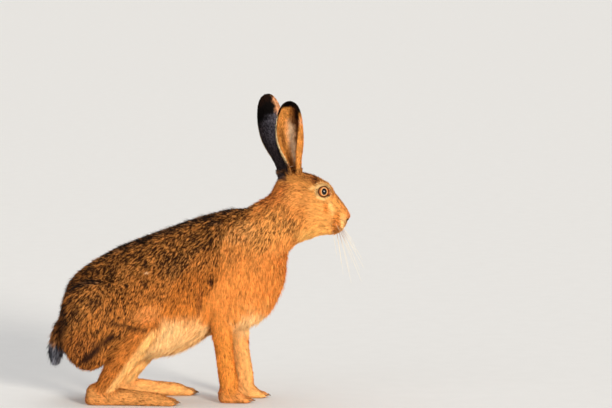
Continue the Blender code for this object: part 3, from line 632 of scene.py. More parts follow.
# Triangles that are left of the skin where the coat hides it, as a share
HIDDEN_SHARE = 0.14
KEPT_FINE = "kept_fine"


def make_skin():
    """The skin as one closed surface, with its ears, lids, nostrils and mouth."""
    core = make_core()
    tree = tree_of(points_of(core.data), triangles_of(core.data))
    combine(core, "UNION", [make_ear(side) for side in (RIGHT, LEFT)] + [make_lids(s) for s in (RIGHT, LEFT)])
    carved = []
    for side in (RIGHT, LEFT):
        points, faces = ball(sided(EYE_CENTRE, side), EYE_RADIUS + EYE_CLEARANCE, 2 * EYE_SEGMENTS)
        carved.append(new_object("eye_hollow", mesh_of("eye_hollow", points, faces)))
        carved.append(groove(MOUTH_LINE, (MOUTH_GROOVE, MOUTH_GROOVE, 0.0004), side, tree))
        carved.append(groove(NOSTRIL, NOSTRIL_RADII, side, tree, 0.0005))
        carved.append(groove(NOSE_NOTCH, NOSE_NOTCH_RADII, side, tree, -NOSE_NOTCH_LIFT))
    carved.append(groove(LIP_SPLIT, (LIP_SPLIT_GROOVE,) * 2, RIGHT, tree))
    combine(core, "DIFFERENCE", carved)
    points = points_of(core.data)
    weights = run_weights(points)
    names = [run[0] for run in ALL_RUNS]
    on_head = weights[:, [names.index(name) for name in ("muzzle", "face", "crown", "throat")]].sum(axis=1)
    fine = np.maximum(ramp(on_head, 0.45, 0.7), is_ear(points))
    group = core.vertex_groups.new(name=KEPT_FINE)
    for level in (0.0, 1.0):
        chosen = np.flatnonzero((fine > 0.5) == bool(level))
        group.add(chosen.tolist(), 1.0 - level, "REPLACE")
    thin = core.modifiers.new("thin", "DECIMATE")
    hidden = float((fine <= 0.5).mean())
    thin.ratio = 1 - hidden * (1 - HIDDEN_SHARE)
    thin.vertex_group = KEPT_FINE
    thin.use_collapse_triangulate = True
    applied(core)
    core.vertex_groups.clear()
    core.data.shade_smooth()
    return core


def is_ear(points):
    """From 0 to 1, how far a point belongs to the leaf of an ear."""
    found = np.zeros(len(points))
    for side in (RIGHT, LEFT):
        share, _, out, _ = ear_places(points, side)
        mine = ((out < 1.7) | (share > 0.5)) & (share < 1.1) & (points[:, 1] * side > 0)
        found = np.maximum(found, np.where(mine, ramp(share, -0.03, 0.03), 0))
    return found


# Colours of the coat as the screen shows them, for each run of the body: main colour, the dark of its
# ticked locks, and the share of locks that are ticked
RUN_LOOKS = {
    "muzzle": ((234, 162, 88), (160, 92, 44), 0.10),
    "face": ((238, 170, 92), (190, 118, 56), 0.08),
    "crown": ((206, 140, 70), (146, 90, 46), 0.13),
    "throat": ((242, 176, 96), (204, 132, 66), 0.05),
    "neck": ((224, 146, 72), (110, 62, 30), 0.18),
    "chest": ((230, 145, 68), (204, 122, 54), 0.08),
    "back": ((198, 130, 66), (36, 21, 14), 0.62),
    "belly": ((252, 208, 144), (228, 168, 104), 0.06),
    # the rump's own dark brown, darkened further as painted shade on a side that faces from the light
    "rump": ((132, 78, 38), (26, 15, 11), 0.69),
    # the tail's white painted grey as in shade
    "tail": ((120, 118, 126), (58, 56, 62), 0.30),
    "flank": ((206, 123, 50), (78, 42, 20), 0.28),
    "shoulder": ((238, 154, 74), (194, 116, 54), 0.08),
    "thigh": ((204, 127, 58), (52, 29, 16), 0.43),
    "foreleg": ((234, 150, 65), (176, 98, 41), 0.10),
    "forepaw": ((226, 152, 84), (146, 88, 46), 0.14),
    "shank": ((206, 124, 54), (100, 56, 26), 0.20),
    "hindfoot": ((222, 156, 88), (140, 88, 46), 0.14),
}
LOOK_MAIN = np.array([srgb(*RUN_LOOKS[run[0]][0]) for run in ALL_RUNS])
LOOK_DARK = np.array([srgb(*RUN_LOOKS[run[0]][1]) for run in ALL_RUNS])
LOOK_TICKS = np.array([RUN_LOOKS[run[0]][2] for run in ALL_RUNS])
COAT_COLOUR = "coat"

# Soft-edged markings, each over those before it, a few of them painted shade: middle (given for the left), radii, turn
# about Y in degrees, strength, then colour, dark of the ticked locks, and share that is ticked
MARKS = {
    "rufous_nape": ((0.112, 0.000, 0.310), (0.024, 0.040, 0.020), -38, 0.80, (206, 120, 56), (120, 64, 30), 0.30),
    "flecked_neck": ((0.108, 0.030, 0.258), (0.046, 0.030, 0.025), -34, 0.85, (236, 164, 86), (70, 38, 20), 0.42),
    "golden_withers": ((0.0640, 0.040, 0.2540), (0.0240, 0.040, 0.0150), -22, 0.70, (240, 172, 98), (92, 54, 29), 0.34),
    "soft_cheek": ((0.1440, 0.028, 0.3030), (0.0200, 0.030, 0.0160), -10, 0.75, (228, 154, 80), (188, 116, 58), 0.12),
    "warm_throat": ((0.118, 0.012, 0.234), (0.022, 0.040, 0.014), -38, 0.70, (238, 160, 82), (190, 112, 52), 0.10),
    "dark_crown": ((0.1640, 0.000, 0.343), (0.0160, 0.030, 0.011), 24, 0.90, (186, 118, 60), (42, 23, 17), 0.58),
    "forehead_patch": ((0.1722, 0.013, 0.3315), (0.0072, 0.012, 0.0060), 30, 0.80, (170, 98, 50), (50, 26, 16), 0.64),
    "pale_temple": ((0.1695, 0.020, 0.3215), (0.0066, 0.012, 0.0032), -18, 0.70, (250, 200, 128), (226, 160, 90), 0.05),
    "warm_cheek": ((0.1420, 0.024, 0.2840), (0.020, 0.020, 0.011), -12, 0.45, (224, 144, 68), (186, 112, 54), 0.12),
    "pale_jaw": ((0.176, 0.016, 0.2515), (0.032, 0.030, 0.0105), -2, 0.85, (252, 194, 108), (228, 154, 78), 0.04),
    "under_eye": ((0.1875, 0.018, 0.2910), (0.0040, 0.014, 0.0110), -12, 0.80, (216, 130, 56), (156, 84, 36), 0.20),
    "before_eye": ((0.1960, 0.016, 0.2925), (0.0031, 0.014, 0.0125), -16, 0.75, (246, 198, 126), (222, 156, 88), 0.0),
    "nose_bridge": ((0.2040, 0.000, 0.3060), (0.0230, 0.009, 0.0075), 38, 0.75, (204, 138, 86), (92, 55, 36), 0.42),
    "whisker_pad": ((0.2034, 0.018, 0.2668), (0.0054, 0.014, 0.0185), 5, 0.80, (220, 132, 58), (112, 50, 20), 0.42),
    "pale_lip": ((0.2142, 0.008, 0.2676), (0.0055, 0.018, 0.0128), 2, 0.90, (248, 202, 132), (226, 160, 92), 0.0),
    "nose_tip": ((0.2222, 0.000, 0.2790), (0.0062, 0.011, 0.0062), 0, 0.70, (232, 148, 90), (160, 90, 54), 0.14),
    # dark: painted shade in the opening of the nostril
    "nostril": ((0.2218, 0.0068, 0.2716), (0.0042, 0.0066, 0.0020), 0, 1.0, (46, 20, 13), (30, 12, 9), 0.3),
    "chest_fades": ((0.072, 0.000, 0.130), (0.036, 0.050, 0.034), 24, 0.60, (248, 176, 100), (220, 142, 74), 0.05),
    "pale_chest_foot": ((0.072, 0.000, 0.114), (0.030, 0.045, 0.024), 24, 0.88, (255, 212, 150), (236, 174, 106), 0.03),
    # the ham's darker ticked hair, with painted shade below the haunch's crease
    "dark_ham_and_shade": ((-0.176, 0.050, 0.0800), (0.030, 0.040, 0.026), 40, 0.60, (176, 102, 46), (50, 29, 17), 0.50),
    # the rump's dark hair, with painted shade on its rear, which faces from the light
    "dark_rump_and_shade": ((-0.2060, 0.000, 0.1500), (0.0300, 0.070, 0.0620), 8, 0.75, (128, 74, 36), (22, 13, 10), 0.70),
    "pale_knee": ((-0.0770, 0.070, 0.1370), (0.0210, 0.030, 0.0120), -12, 0.75, (240, 162, 88), (186, 112, 54), 0.08),
    "shoulder_spot": ((0.0195, 0.060, 0.1830), (0.0045, 0.020, 0.0055), 0, 0.95, (120, 64, 30), (40, 22, 12), 0.8),
    "elbow_shade": ((0.0012, 0.060, 0.1580), (0.0045, 0.030, 0.0200), 6, 0.65, (176, 98, 42), (74, 40, 20), 0.50),
    "pale_fleck": ((-0.0780, 0.060, 0.1965), (0.0042, 0.020, 0.0010), -2, 0.75, (250, 222, 178), (236, 194, 144), 0.0),
    "nape_streak": ((0.1275, 0.000, 0.3300), (0.0026, 0.034, 0.0090), 8, 0.70, (130, 76, 42), (64, 35, 19), 0.6),
    # grey-blue painted shade at the foot of the ears
    "nape_stalk_shade": ((0.1196, 0.000, 0.3415), (0.0112, 0.034, 0.0112), 0, 0.95, (68, 60, 66), (30, 26, 30), 0.5),
}
MARK_EDGE = 0.38
MARK_WAVES = (0.006, 0.55)

# Painted shade in the creases of the coat: start, end (given for the left), half width and strength
CREASE_SHADES = [
    ((-0.1400, 0.066, 0.1265), (-0.0790, 0.072, 0.1135), 0.0026, 0.80),
    ((-0.1280, 0.066, 0.1035), (-0.1720, 0.056, 0.0640), 0.0048, 1.00),
    ((0.1340, 0.030, 0.2580), (0.1530, 0.024, 0.2480), 0.0020, 0.30),
    ((0.1170, 0.020, 0.1960), (0.1215, 0.014, 0.1880), 0.0020, 0.60),
    ((0.0500, 0.045, 0.1360), (0.0540, 0.040, 0.1180), 0.0018, 0.45),
]
CREASE_SHADE_COLOUR = srgb(60, 34, 20)

# The dark saddle of the back reaches down to this height, by place along the body
SADDLE_X = (-0.215, -0.180, -0.120, -0.060, 0.0, 0.045, 0.075, 0.095)
SADDLE_Z = (0.105, 0.140, 0.172, 0.204, 0.226, 0.266, 0.284, 0.305)
SADDLE_EDGE = 0.022
SADDLE_WAVES = (0.010, 0.034)
TICK_PATCHES = (0.0110, 0.34)
SADDLE = (srgb(202, 131, 64), srgb(28, 17, 12), 0.67)
# Along the top of the back: its own dark hair, with painted shade where the top faces from the low light
SPINE_DARK_AND_SHADE = (srgb(128, 92, 66), srgb(20, 13, 13), 0.84)

PLAIN_FLANK = (srgb(220, 134, 54), srgb(146, 79, 33), 0.14)
PLAIN_Z = (0.130, 0.176)
BELLY_Z = (0.106, 0.140)
BELLY_X = (-0.105, -0.060, 0.008, 0.040)
BELLY = (srgb(253, 208, 144), srgb(232, 172, 108), 0.04)
INNER_LEG = (srgb(252, 192, 118), srgb(230, 156, 86), 0.04)
SHIN = (srgb(252, 200, 126), srgb(232, 160, 86), 0.03)
SHIN_FACES = (0.81, 0.0, -0.58)


class Places:
    """Places on the skin, with all that the coat asks about them."""

    def __init__(self, points, normals):
        self.points = points
        self.normals = normals
        self.weights = run_weights(points)
        self.side = np.where(points[:, 1] < SHIFT[1], RIGHT, LEFT)
        self.ear = is_ear(points)
        self.own = points - SHIFT
        self.left = self.own * (1, LEFT, 1)
        self.left[:, 1] = np.abs(self.left[:, 1])

    def held_by(self, *names):
        """How much the runs with these names hold each place."""
        columns = [i for i, run in enumerate(ALL_RUNS) if run[0] in names]
        return self.weights[:, columns].sum(axis=1) * (1 - self.ear)


def blend(look, other, share):
    """A look moved towards another: its main colour, its dark and its share of ticked locks."""
    return tuple(mix(mine, np.asarray(theirs) + 0.0 * mine, share) for mine, theirs in zip(look, other))


def blot(places, middle, radii, turn):
    """From 0 to 1, how far each place lies inside a marking with a wavy, soft edge."""
    offset = places.left - middle
    angle = math.radians(turn)
    x = offset[:, 0] * math.cos(angle) - offset[:, 2] * math.sin(angle)
    z = offset[:, 0] * math.sin(angle) + offset[:, 2] * math.cos(angle)
    out = np.linalg.norm(np.stack([x, offset[:, 1], z], axis=1) / radii, axis=1)
    size, depth = MARK_WAVES
    out += (noise(places.points, size, 31) - 0.5) * depth
    return 1 - ramp(out, 1 - MARK_EDGE, 1 + MARK_EDGE)


def along_line(places, start, end):
    """How far each place is from a line between two points, given for the left."""
    start, end = np.array(start), np.array(end)
    run = end - start
    t = np.clip((places.left - start) @ run / (run @ run), 0, 1)
    return np.linalg.norm(places.left - start - t[:, None] * run, axis=1)


def markings(places):
    """The coat at each place: its main colour, the dark of its ticked locks, and how many are ticked, with painted
    shade in its creases, along the top of the back and on sides turned from the light.
    """
    look = (places.weights @ LOOK_MAIN, places.weights @ LOOK_DARK, places.weights @ LOOK_TICKS)
    x, _, z = places.left.T
    trunk = places.held_by("back", "flank", "rump", "thigh", "shoulder", "neck", "chest", "belly")
    waves = (noise(places.points, SADDLE_WAVES[0], 21) - 0.5) * SADDLE_WAVES[1]
    above = z - np.interp(x, SADDLE_X, SADDLE_Z) + waves
    look = blend(look, SADDLE, ramp(above, -SADDLE_EDGE, SADDLE_EDGE) * trunk)
    # the upward-facing top of the back darker: dark hair and painted shade
    upward = ramp(places.normals[:, 2], 0.72, 0.96) * ramp(above, 0.0, 0.03)
    look = blend(look, SPINE_DARK_AND_SHADE, 0.8 * upward * trunk)
    between = ramp(x, *BELLY_X[:2]) * (1 - ramp(x, *BELLY_X[2:]))
    look = blend(look, PLAIN_FLANK, 0.75 * (1 - ramp(z + waves * 0.6, *PLAIN_Z)) * between * trunk)
    under = (1 - ramp(z + waves * 0.4, *BELLY_Z)) * between
    under = np.maximum(under, ramp(-places.normals[:, 2], 0.2, 0.7) * (1 - ramp(x, 0.06, 0.10)))
    look = blend(look, BELLY, under * places.held_by("back", "flank", "belly", "chest"))
    inward = ramp(-places.normals[:, 1] * places.side, 0.0, 0.55)
    look = blend(look, INNER_LEG, 0.9 * inward * places.held_by("foreleg", "forepaw", "shank", "hindfoot", "thigh"))
    shin = ramp(places.normals @ np.array(SHIN_FACES), 0.05, 0.55)
    look = blend(look, SHIN, shin * ramp(places.held_by("shank"), 0.3, 0.7) * (1 - ramp(z, 0.108, 0.118)))
    for middle, radii, turn, strength, colour, dark, ticks in MARKS.values():
        mark = (srgb(*colour), srgb(*dark), ticks)
        look = blend(look, mark, strength * blot(places, middle, radii, turn) * (1 - places.ear))
    look = eye_marks(places, look)
    main, dark, ticks = look
    # painted shade along each crease
    for start, end, half, strength in CREASE_SHADES:
        share = strength * (1 - ramp(along_line(places, start, end), 0.3 * half, 2.2 * half))
        main, dark = mix(main, CREASE_SHADE_COLOUR + 0 * main, share), mix(dark, 0.6 * CREASE_SHADE_COLOUR + 0 * dark, share)
    size, depth = TICK_PATCHES
    ticks = np.clip(ticks * (1 + depth * 2 * (noise(places.points, size, 32) - 0.5)), 0, 0.92)
    main, dark, ticks = tail_marks(places, (main, dark, ticks))
    return ear_marks(places, (main, dark, ticks))


# The eye's surround: the dark rim of the lids, then the pale ring
LID_COLOUR = srgb(92, 50, 26)
LID_CORNER = srgb(176, 92, 52)
LID_REACH = (0.0084, 0.0094)
LID_WIDER = 1.07
RING_COLOUR = (srgb(250, 210, 144), srgb(230, 172, 104), 0.0)
RING_REACH = (0.0116, 0.0152)


def eye_marks(places, look):
    """A pale ring round each eye, strongest above and behind, and the dark rim of its lids."""
    for side in (RIGHT, LEFT):
        eye, forward, up = eye_axes(side)
        offset = places.points - sided(EYE_CENTRE, side)
        ahead, over = offset @ forward, offset @ up
        reach = np.hypot(ahead, over)
        near = ramp(offset @ eye, -0.004, 0.002)
        turn = np.arctan2(over, ahead)
        uneven = (noise(places.points, 0.003, 41) - 0.5) * 0.0016
        width = 0.62 + 0.38 * np.cos(turn - math.radians(135))
        outer = RING_REACH[0] + (RING_REACH[1] - RING_REACH[0]) * width
        ring = near * (1 - ramp(reach + uneven, outer - 0.0016, outer + 0.0010))
        look = blend(look, RING_COLOUR, ring * (0.80 + 0.20 * width))
        on_lid = np.hypot(ahead / LID_WIDER, over)
        rim = near * (1 - ramp(on_lid + 0.4 * uneven, *LID_REACH))
        corner = 1 - ramp(np.abs(turn), 0.25, 0.7)
        colour = mix(LID_COLOUR + np.zeros_like(places.points), LID_CORNER, corner)
        look = blend(look, (colour, 0.7 * colour, 0.3), rim)
    return look


TAIL_TOP = (srgb(40, 36, 42), srgb(20, 18, 22), 0.3)
# the white sides and underside, painted grey-blue as white in shade
TAIL_SIDE_SHADED = (srgb(132, 134, 146), srgb(46, 44, 52), 0.42)


def tail_marks(places, look):
    """A tail that is black along its back, and white at its sides and below, painted grey-blue as in shade."""
    tail = ramp(places.held_by("tail"), 0.45, 0.75)
    look = blend(look, TAIL_SIDE_SHADED, tail)
    back = ramp(-places.normals[:, 0], 0.35, 0.8) * (1 - ramp(np.abs(places.own[:, 1]), 0.006, 0.011))
    return blend(look, TAIL_TOP, tail * back)


EAR_BLACK = (srgb(11, 6, 5), srgb(7, 5, 5), 0.4)
EAR_BROWN = (srgb(46, 24, 13), srgb(16, 8, 6), 0.5)
# the grey back of the ear, painted dark slate as in shade
EAR_SLATE_SHADE = (srgb(70, 58, 60), srgb(26, 21, 24), 0.5)
# painted highlight, pale blue-grey, on the back of the ear
EAR_GREY_HIGHLIGHT = (srgb(134, 130, 142), srgb(54, 48, 56), 0.45)
EAR_GREY_FROM = (0.24, 0.50)
EAR_FRONT = (srgb(238, 162, 80), srgb(150, 84, 36), 0.20)
# the tan band at the top of the front, with a painted warm glow of light through the rim
EAR_BAND_AND_GLOW = (srgb(232, 168, 122), srgb(150, 90, 58), 0.22)
EAR_BAND_ENDS = {RIGHT: (0.76, 0.84), LEFT: (0.93, 1.0)}
EAR_PALE = (srgb(255, 232, 184), srgb(246, 204, 140), 0.0)
EAR_GOLD = (srgb(230, 158, 78), srgb(168, 96, 40), 0.20)
# pale pink skin in the middle of the cup, made brighter as a painted highlight
EAR_PINK_AND_HIGHLIGHT = (srgb(255, 226, 188), srgb(252, 198, 146), 0.0)
# dark fringe and painted shadow under the rolled front rim
EAR_FOLD_SHADOW = (srgb(80, 40, 22), srgb(44, 22, 13), 0.4)
EAR_SHADE = (srgb(150, 92, 42), srgb(96, 52, 24), 0.35)
# reddish brown painted shade high in the cup
EAR_CUP_SHADE = (srgb(122, 66, 30), srgb(60, 30, 15), 0.4)
EAR_BLACK_FROM = (0.66, 0.78)
EAR_BLACK_SLANT = 0.0013
EAR_RIM_BLACK_FROM = (0.80, 0.88)
EAR_BROWN_FROM = (0.86, 0.99)
EAR_FOOT_FADES = (0.00, 0.16)
EAR_PALE_FROM = (0.10, 0.26)
EAR_FOOT_BACK = (62, 92)


def ear_marks(places, look):
    """Ears dark slate behind, their grey painted as in shade, with black tips, tan along the front, pale along the back
    rim, golden inside, and painted highlight, glow and shade on and in the cup.
    """
    for side in (RIGHT, LEFT):
        mine = places.ear * (places.side == side)
        share, angle, _, edge = ear_places(places.points, side)
        share = share + (noise(places.points, 0.0035, 51) - 0.5) * 0.07
        outside = outside_ear(places, side)
        waves = (noise(places.points, 0.004, 52) - 0.5) * 20
        grown = ramp(share, *EAR_FOOT_FADES)
        front = ramp(angle + waves, 52, 78)
        rim = (1 - ramp(edge, 0.03, 0.08)) * ramp(share, *EAR_PALE_FROM)
        # the back of the ear in painted shade, then its painted highlight
        outer = blend(look, EAR_SLATE_SHADE, np.maximum(grown, 1 - ramp(np.maximum(angle, -0.6 * angle), *EAR_FOOT_BACK)))
        grey_highlight = np.exp(-(((angle - 8 + waves) / 34) ** 2)) * ramp(share, *EAR_GREY_FROM)
        outer = blend(outer, EAR_GREY_HIGHLIGHT, 0.7 * grey_highlight)
        outer = blend(outer, EAR_FRONT, front * grown)
        back_edge = (1 - ramp(angle + 0.3 * waves, -76, -62)) * ramp(share, *EAR_PALE_FROM)
        outer = blend(outer, EAR_PALE, 0.75 * back_edge)
        slanted = share - EAR_BLACK_SLANT * np.clip(angle, -90, 60)
        black = mix(ramp(slanted, *EAR_BLACK_FROM), ramp(share, *EAR_RIM_BLACK_FROM), front)
        outer = blend(outer, EAR_BLACK, black)
        outer = blend(outer, EAR_BROWN, 0.85 * ramp(share, *EAR_BROWN_FROM))
        # tan band with painted glow near the top of the front
        band_and_glow = ramp(angle + waves, 26, 44) * ramp(share, 0.66, 0.74) * (1 - ramp(share, *EAR_BAND_ENDS[side]))
        outer = blend(outer, EAR_BAND_AND_GLOW, 0.9 * band_and_glow)
        inner = blend(look, EAR_GOLD, grown)
        back_fold = np.exp(-(((angle + 40 + waves) / 14) ** 2)) * (1 - ramp(share, 0.55, 0.7))
        inner = blend(inner, EAR_SHADE, 0.85 * back_fold * grown)
        # pale pink skin with a painted highlight in the middle of the cup
        middle = np.exp(-(((angle - 8 + 0.5 * waves) / 18) ** 2)) * (1 - ramp(share, 0.60, 0.80))
        inner = blend(inner, EAR_PINK_AND_HIGHLIGHT, 0.95 * middle * grown)
        # dark fringe and painted shadow inside the front rim
        front_fold_shadow = np.exp(-(((angle - 38 + 0.5 * waves) / 13) ** 2)) * ramp(share, 0.0, 0.2)
        inner = blend(inner, EAR_FOLD_SHADOW, 0.95 * front_fold_shadow)
        inner = blend(inner, EAR_PALE, rim * (angle < 0))
        # high in the cup: reddish brown painted shade, and towards the front the tip's black hair with painted shade
        cup_shade = ramp(share, 0.52, 0.72) * ramp(angle + waves, -20, 18)
        dark_front_and_shade = ramp(share, 0.62, 0.78) * ramp(angle + waves, 16, 44)
        tip = np.maximum(ramp(share, 0.90, 0.96), ramp(share, 0.76, 0.86) * (1 - ramp(edge, 0.10, 0.30)))
        inner = blend(inner, EAR_CUP_SHADE, 0.85 * cup_shade)
        inner = blend(inner, EAR_BLACK, np.maximum(0.85 * dark_front_and_shade, tip))
        look = tuple(
            mix(ours, np.where(outside[:, None] if ours.ndim > 1 else outside, out, within), mine)
            for ours, out, within in zip(look, outer, inner)
        )
    return look


def paint(mesh, colours):
    """Stores a colour at each point of a mesh."""
    layer = mesh.color_attributes.new(COAT_COLOUR, "FLOAT_COLOR", "POINT")
    rgba = np.ones((len(colours), 4), np.float32)
    rgba[:, :3] = colours
    layer.data.foreach_set("color", rgba.ravel())
    mesh.color_attributes.active_color = layer


# Each piece of the coat: the runs it takes in, its side, and the line that its map is unwrapped round
COAT_PIECES = {
    "coat_head_right": (("muzzle", "face", "crown", "throat"), RIGHT, (0.108, 0.290), (0.226, 0.280)),
    "coat_head_left": (("muzzle", "face", "crown", "throat"), LEFT, (0.108, 0.290), (0.226, 0.280)),
    "coat_ear_right": (("ear",), RIGHT, None, None),
    "coat_ear_left": (("ear",), LEFT, None, None),
    "coat_neck": (("neck",), 0, (0.070, 0.225), (0.130, 0.285)),
    "coat_chest_right": (("chest", "shoulder"), RIGHT, (0.080, 0.120), (0.050, 0.260)),
    "coat_chest_left": (("chest", "shoulder"), LEFT, (0.080, 0.120), (0.050, 0.260)),
    "coat_side_right": (("back", "belly", "flank"), RIGHT, (-0.160, 0.130), (0.050, 0.200)),
    "coat_side_left": (("back", "belly", "flank"), LEFT, (-0.160, 0.130), (0.050, 0.200)),
    "coat_haunch_right": (("rump", "thigh"), RIGHT, (-0.200, 0.110), (-0.060, 0.150)),
    "coat_haunch_left": (("rump", "thigh"), LEFT, (-0.200, 0.110), (-0.060, 0.150)),
    "coat_tail": (("tail",), 0, (-0.216, 0.050), (-0.205, 0.120)),
    "coat_foreleg_right": (("foreleg", "forepaw"), RIGHT, (0.045, 0.000), (0.030, 0.125)),
    "coat_foreleg_left": (("foreleg", "forepaw"), LEFT, (0.0675, 0.000), (0.0525, 0.125)),
    "coat_hind_leg_right": (("shank", "hindfoot"), RIGHT, (-0.140, 0.015), (-0.074, 0.120)),
    "coat_hind_leg_left": (("shank", "hindfoot"), LEFT, (-0.116, 0.015), (-0.050, 0.120)),
}
LEG_SIDE = 0.052
PER_MM2 = 1e6
SORT_CELL = 0.006
LOCK_SPREAD = 0.72
TIP_PULL = 0.70
LENGTH_SPREAD = (0.72, 1.15)
MIDDLE_AT = 0.48
MIDDLE_RISE = 0.62
ROOT_SUNK = 0.0004
ROLL_SPREAD = 32.0
NORMAL_SHARE = 0.45
RISE_SPREAD = (0.7, 1.15)
LOWEST_HAIR = 0.0004
DOWNWARD = {"back": 2.0, "flank": 1.4, "rump": 2.2, "thigh": 0.9, "neck": 0.5, "shoulder": 0.3}
TURN_NOISE = ((0.030, 18.0), (0.010, 9.0))
PATCH_HALF = 0.0015
MAP_MARGIN = 0.012


def owners(places):
    """The piece of the coat that each place belongs to, by its number."""
    scores = np.full((len(places.points), len(COAT_PIECES)), -1.0)
    for i, (runs, side, _, _) in enumerate(COAT_PIECES.values()):
        score = places.ear if runs == ("ear",) else places.held_by(*runs)
        mine = (side == 0) | (places.side == side)
        scores[:, i] = np.where(mine, score, -1.0)
    return scores.argmax(axis=1)


LID_BARE = 7.0


def bare(places):
    """Where no tufts grow: in the hollows and on the rims of the eyes, in the nostrils, in the mouth."""
    found = np.zeros(len(places.points), bool)
    for side in (RIGHT, LEFT):
        look, forward, up = eye_axes(side)
        offset = places.points - sided(EYE_CENTRE, side)
        reach = np.linalg.norm(offset, axis=1)
        out = np.degrees(np.arccos(np.clip(offset @ look / np.maximum(reach, 1e-9), -1, 1)))
        turn = np.arctan2(offset @ up, offset @ forward)
        rim = (out < lid_edge(turn) + LID_BARE) & (reach < EYE_RADIUS + 0.006)
        found |= rim | (reach < EYE_RADIUS + 0.0003)
    for start, end in zip(NOSTRIL, NOSTRIL[1:]):
        found |= along_line(places, start, end) < NOSTRIL_BARE
    return found


def lock_hair(places):
    """Length, depth, width, density and lock size of the hair at each place."""
    hair = mix(places.weights @ RUN_HAIR, np.array(EAR_HAIR), places.ear)
    hair[:, :WIDTH] *= 1 + CHEST_LONGER * blot(places, *MARKS["pale_chest_foot"][:3])[:, None]
    for side in (RIGHT, LEFT):
        hair[:, LENGTH] *= 1 + FRINGE_LONGER * ear_fringe(places, side)[0]
    return hair


FRINGE_EDGE = (0.02, 0.10)
FRINGE_OUT = 1.1
FRINGE_LONGER = 0.7
CHEST_LONGER = 0.6


def ear_fringe(places, side):
    """How near each place is to the rim of an ear, and the way out over that rim."""
    _, _, front, back = ear_frame(side)
    share, angle, _, edge = ear_places(places.points, side)
    half_width, half_depth = ear_section(np.clip(share, -0.1, 1.0))[:2]
    turn = np.radians(angle)
    way = front * (half_width * np.cos(turn))[:, None] - back * (half_depth * np.sin(turn))[:, None]
    near = (1 - ramp(edge, *FRINGE_EDGE)) * places.ear * (places.side == side)
    return near, unit(way) * np.sign(angle)[:, None]


def lie_of(places, seed):
    """The way the hair lies at each place, along the skin."""
    lie = places.weights @ RUN_LIE
    for name, pull in DOWNWARD.items():
        lie[:, 2] -= pull * places.held_by(name)
    for side in (RIGHT, LEFT):
        mine = (places.ear > 0) & (places.side == side)
        _, along, _, _ = ear_frame(side)
        fringe = ear_fringe(places, side)
        over_rim = unit(along + FRINGE_OUT * fringe[0][:, None] * fringe[1])
        lie[mine] = mix(lie[mine], over_rim[mine], places.ear[mine])
    lie = unit(lie - places.normals * dot(lie, places.normals)[:, None])
    turn = np.zeros(len(lie))
    for i, (size, most) in enumerate(TURN_NOISE):
        turn += (noise(places.points, size, seed + i) - 0.5) * 2 * math.radians(most)
    across = np.cross(places.normals, lie)
    return lie * np.cos(turn)[:, None] + across * np.sin(turn)[:, None]


def spread(skin, chosen, density, rng):
    """Places spread evenly over the chosen triangles of the skin, so many to a square millimetre."""
    points, triangles, normals = skin
    corners = points[triangles[chosen]]
    area = np.linalg.norm(np.cross(corners[:, 1] - corners[:, 0], corners[:, 2] - corners[:, 0]), axis=1) / 2
    cell = np.floor(corners.mean(axis=1) / SORT_CELL).astype(int)
    order = np.lexsort((cell[:, 0], cell[:, 1], cell[:, 2]))
    total = np.cumsum((area * density)[order]) * PER_MM2
    count = int(total[-1])
    at = order[np.searchsorted(total, (np.arange(count) + rng.random(count)) * total[-1] / count)]
    u, v = rng.random((2, count))
    over = u + v > 1
    u, v = np.where(over, 1 - u, u), np.where(over, 1 - v, v)
    share = np.stack([1 - u - v, u, v], axis=1)[..., None]
    normal = unit((normals[triangles[chosen[at]]] * share).sum(axis=1))
    return Places((corners[at] * share).sum(axis=1), normal)


def follow(tree, start, step, height):
    """Where the hair gets to after a step along the skin, at a height off it."""
    places = np.empty_like(start)
    normals = np.empty_like(start)
    for i, (point, lift) in enumerate(zip((start + step).tolist(), height.tolist())):
        place, normal, _, _ = tree.find_nearest(point)
        normals[i] = normal
        places[i] = place + normal * lift
    return places, normals


def unwrap(places, piece):
    """Each place on the map of its piece: round the piece's own line, and along it."""
    runs, side, start, end = COAT_PIECES[piece]
    if runs == ("ear",):
        share, angle, out, _ = ear_places(places.points, side)
        half = np.where(outside_ear(places, side), 0.5, 0.0)
        u = half + 0.48 * np.clip((angle + 160) / 320, 0, 1)
        v = np.clip(share, 0, 1)
    else:
        off = side * LEG_SIDE if "leg" in piece else 0.0
        start = np.array((start[0], off, start[1])) + SHIFT
        end = np.array((end[0], off, end[1])) + SHIFT
        way = unit(end - start)
        across = unit(np.cross(way, (0, 1.0, 0)))
        offset = places.points - start
        v = offset @ way
        u = np.arctan2(offset[:, 1], offset @ across)
        if side == RIGHT and "leg" not in piece:
            u = -u
    u, v = ((value - value.min()) / (value.max() - value.min()) for value in (u, v))
    room = 1 - 2 * MAP_MARGIN
    return np.stack([u, v], axis=1) * room + MAP_MARGIN


def outside_ear(places, side):
    """Whether a place on an ear faces out of its cup."""
    foot, along, front, back = ear_frame(side)
    offset = places.points - foot
    share = np.clip((offset @ along - EAR_GAP) / EAR_LENGTH, -0.1, 1.0)
    bow = ear_section(share)[4]
    across = offset @ front + bow
    behind = offset @ back
    return (places.normals @ front) * across + (places.normals @ back) * behind > 0


TICK_STREAKS = (0.0010, 0.0014)
TICK_CHANCE = 0.50
# tufts round the rim of a lock are more often dark: painted shade in the gaps between locks
RIM_SHADE_CHANCE = 0.48
TUFT_CHANCE = 0.25
SHADE_STREAKS = (0.0026, 0.0040)
SHADE_SPREAD = 0.12
LOCK_SHADE = (0.87, 1.13)
BAND_DARK = 0.92
TIP_PALE = 1.04
TICKED_PALE = 0.60
ROOT_DARK = 0.9
ROOT_SHADE = 0.84
GUARD_HAIRS = 0.06
GUARD_LONGER = 1.30
GUARD_LIFT = 0.5


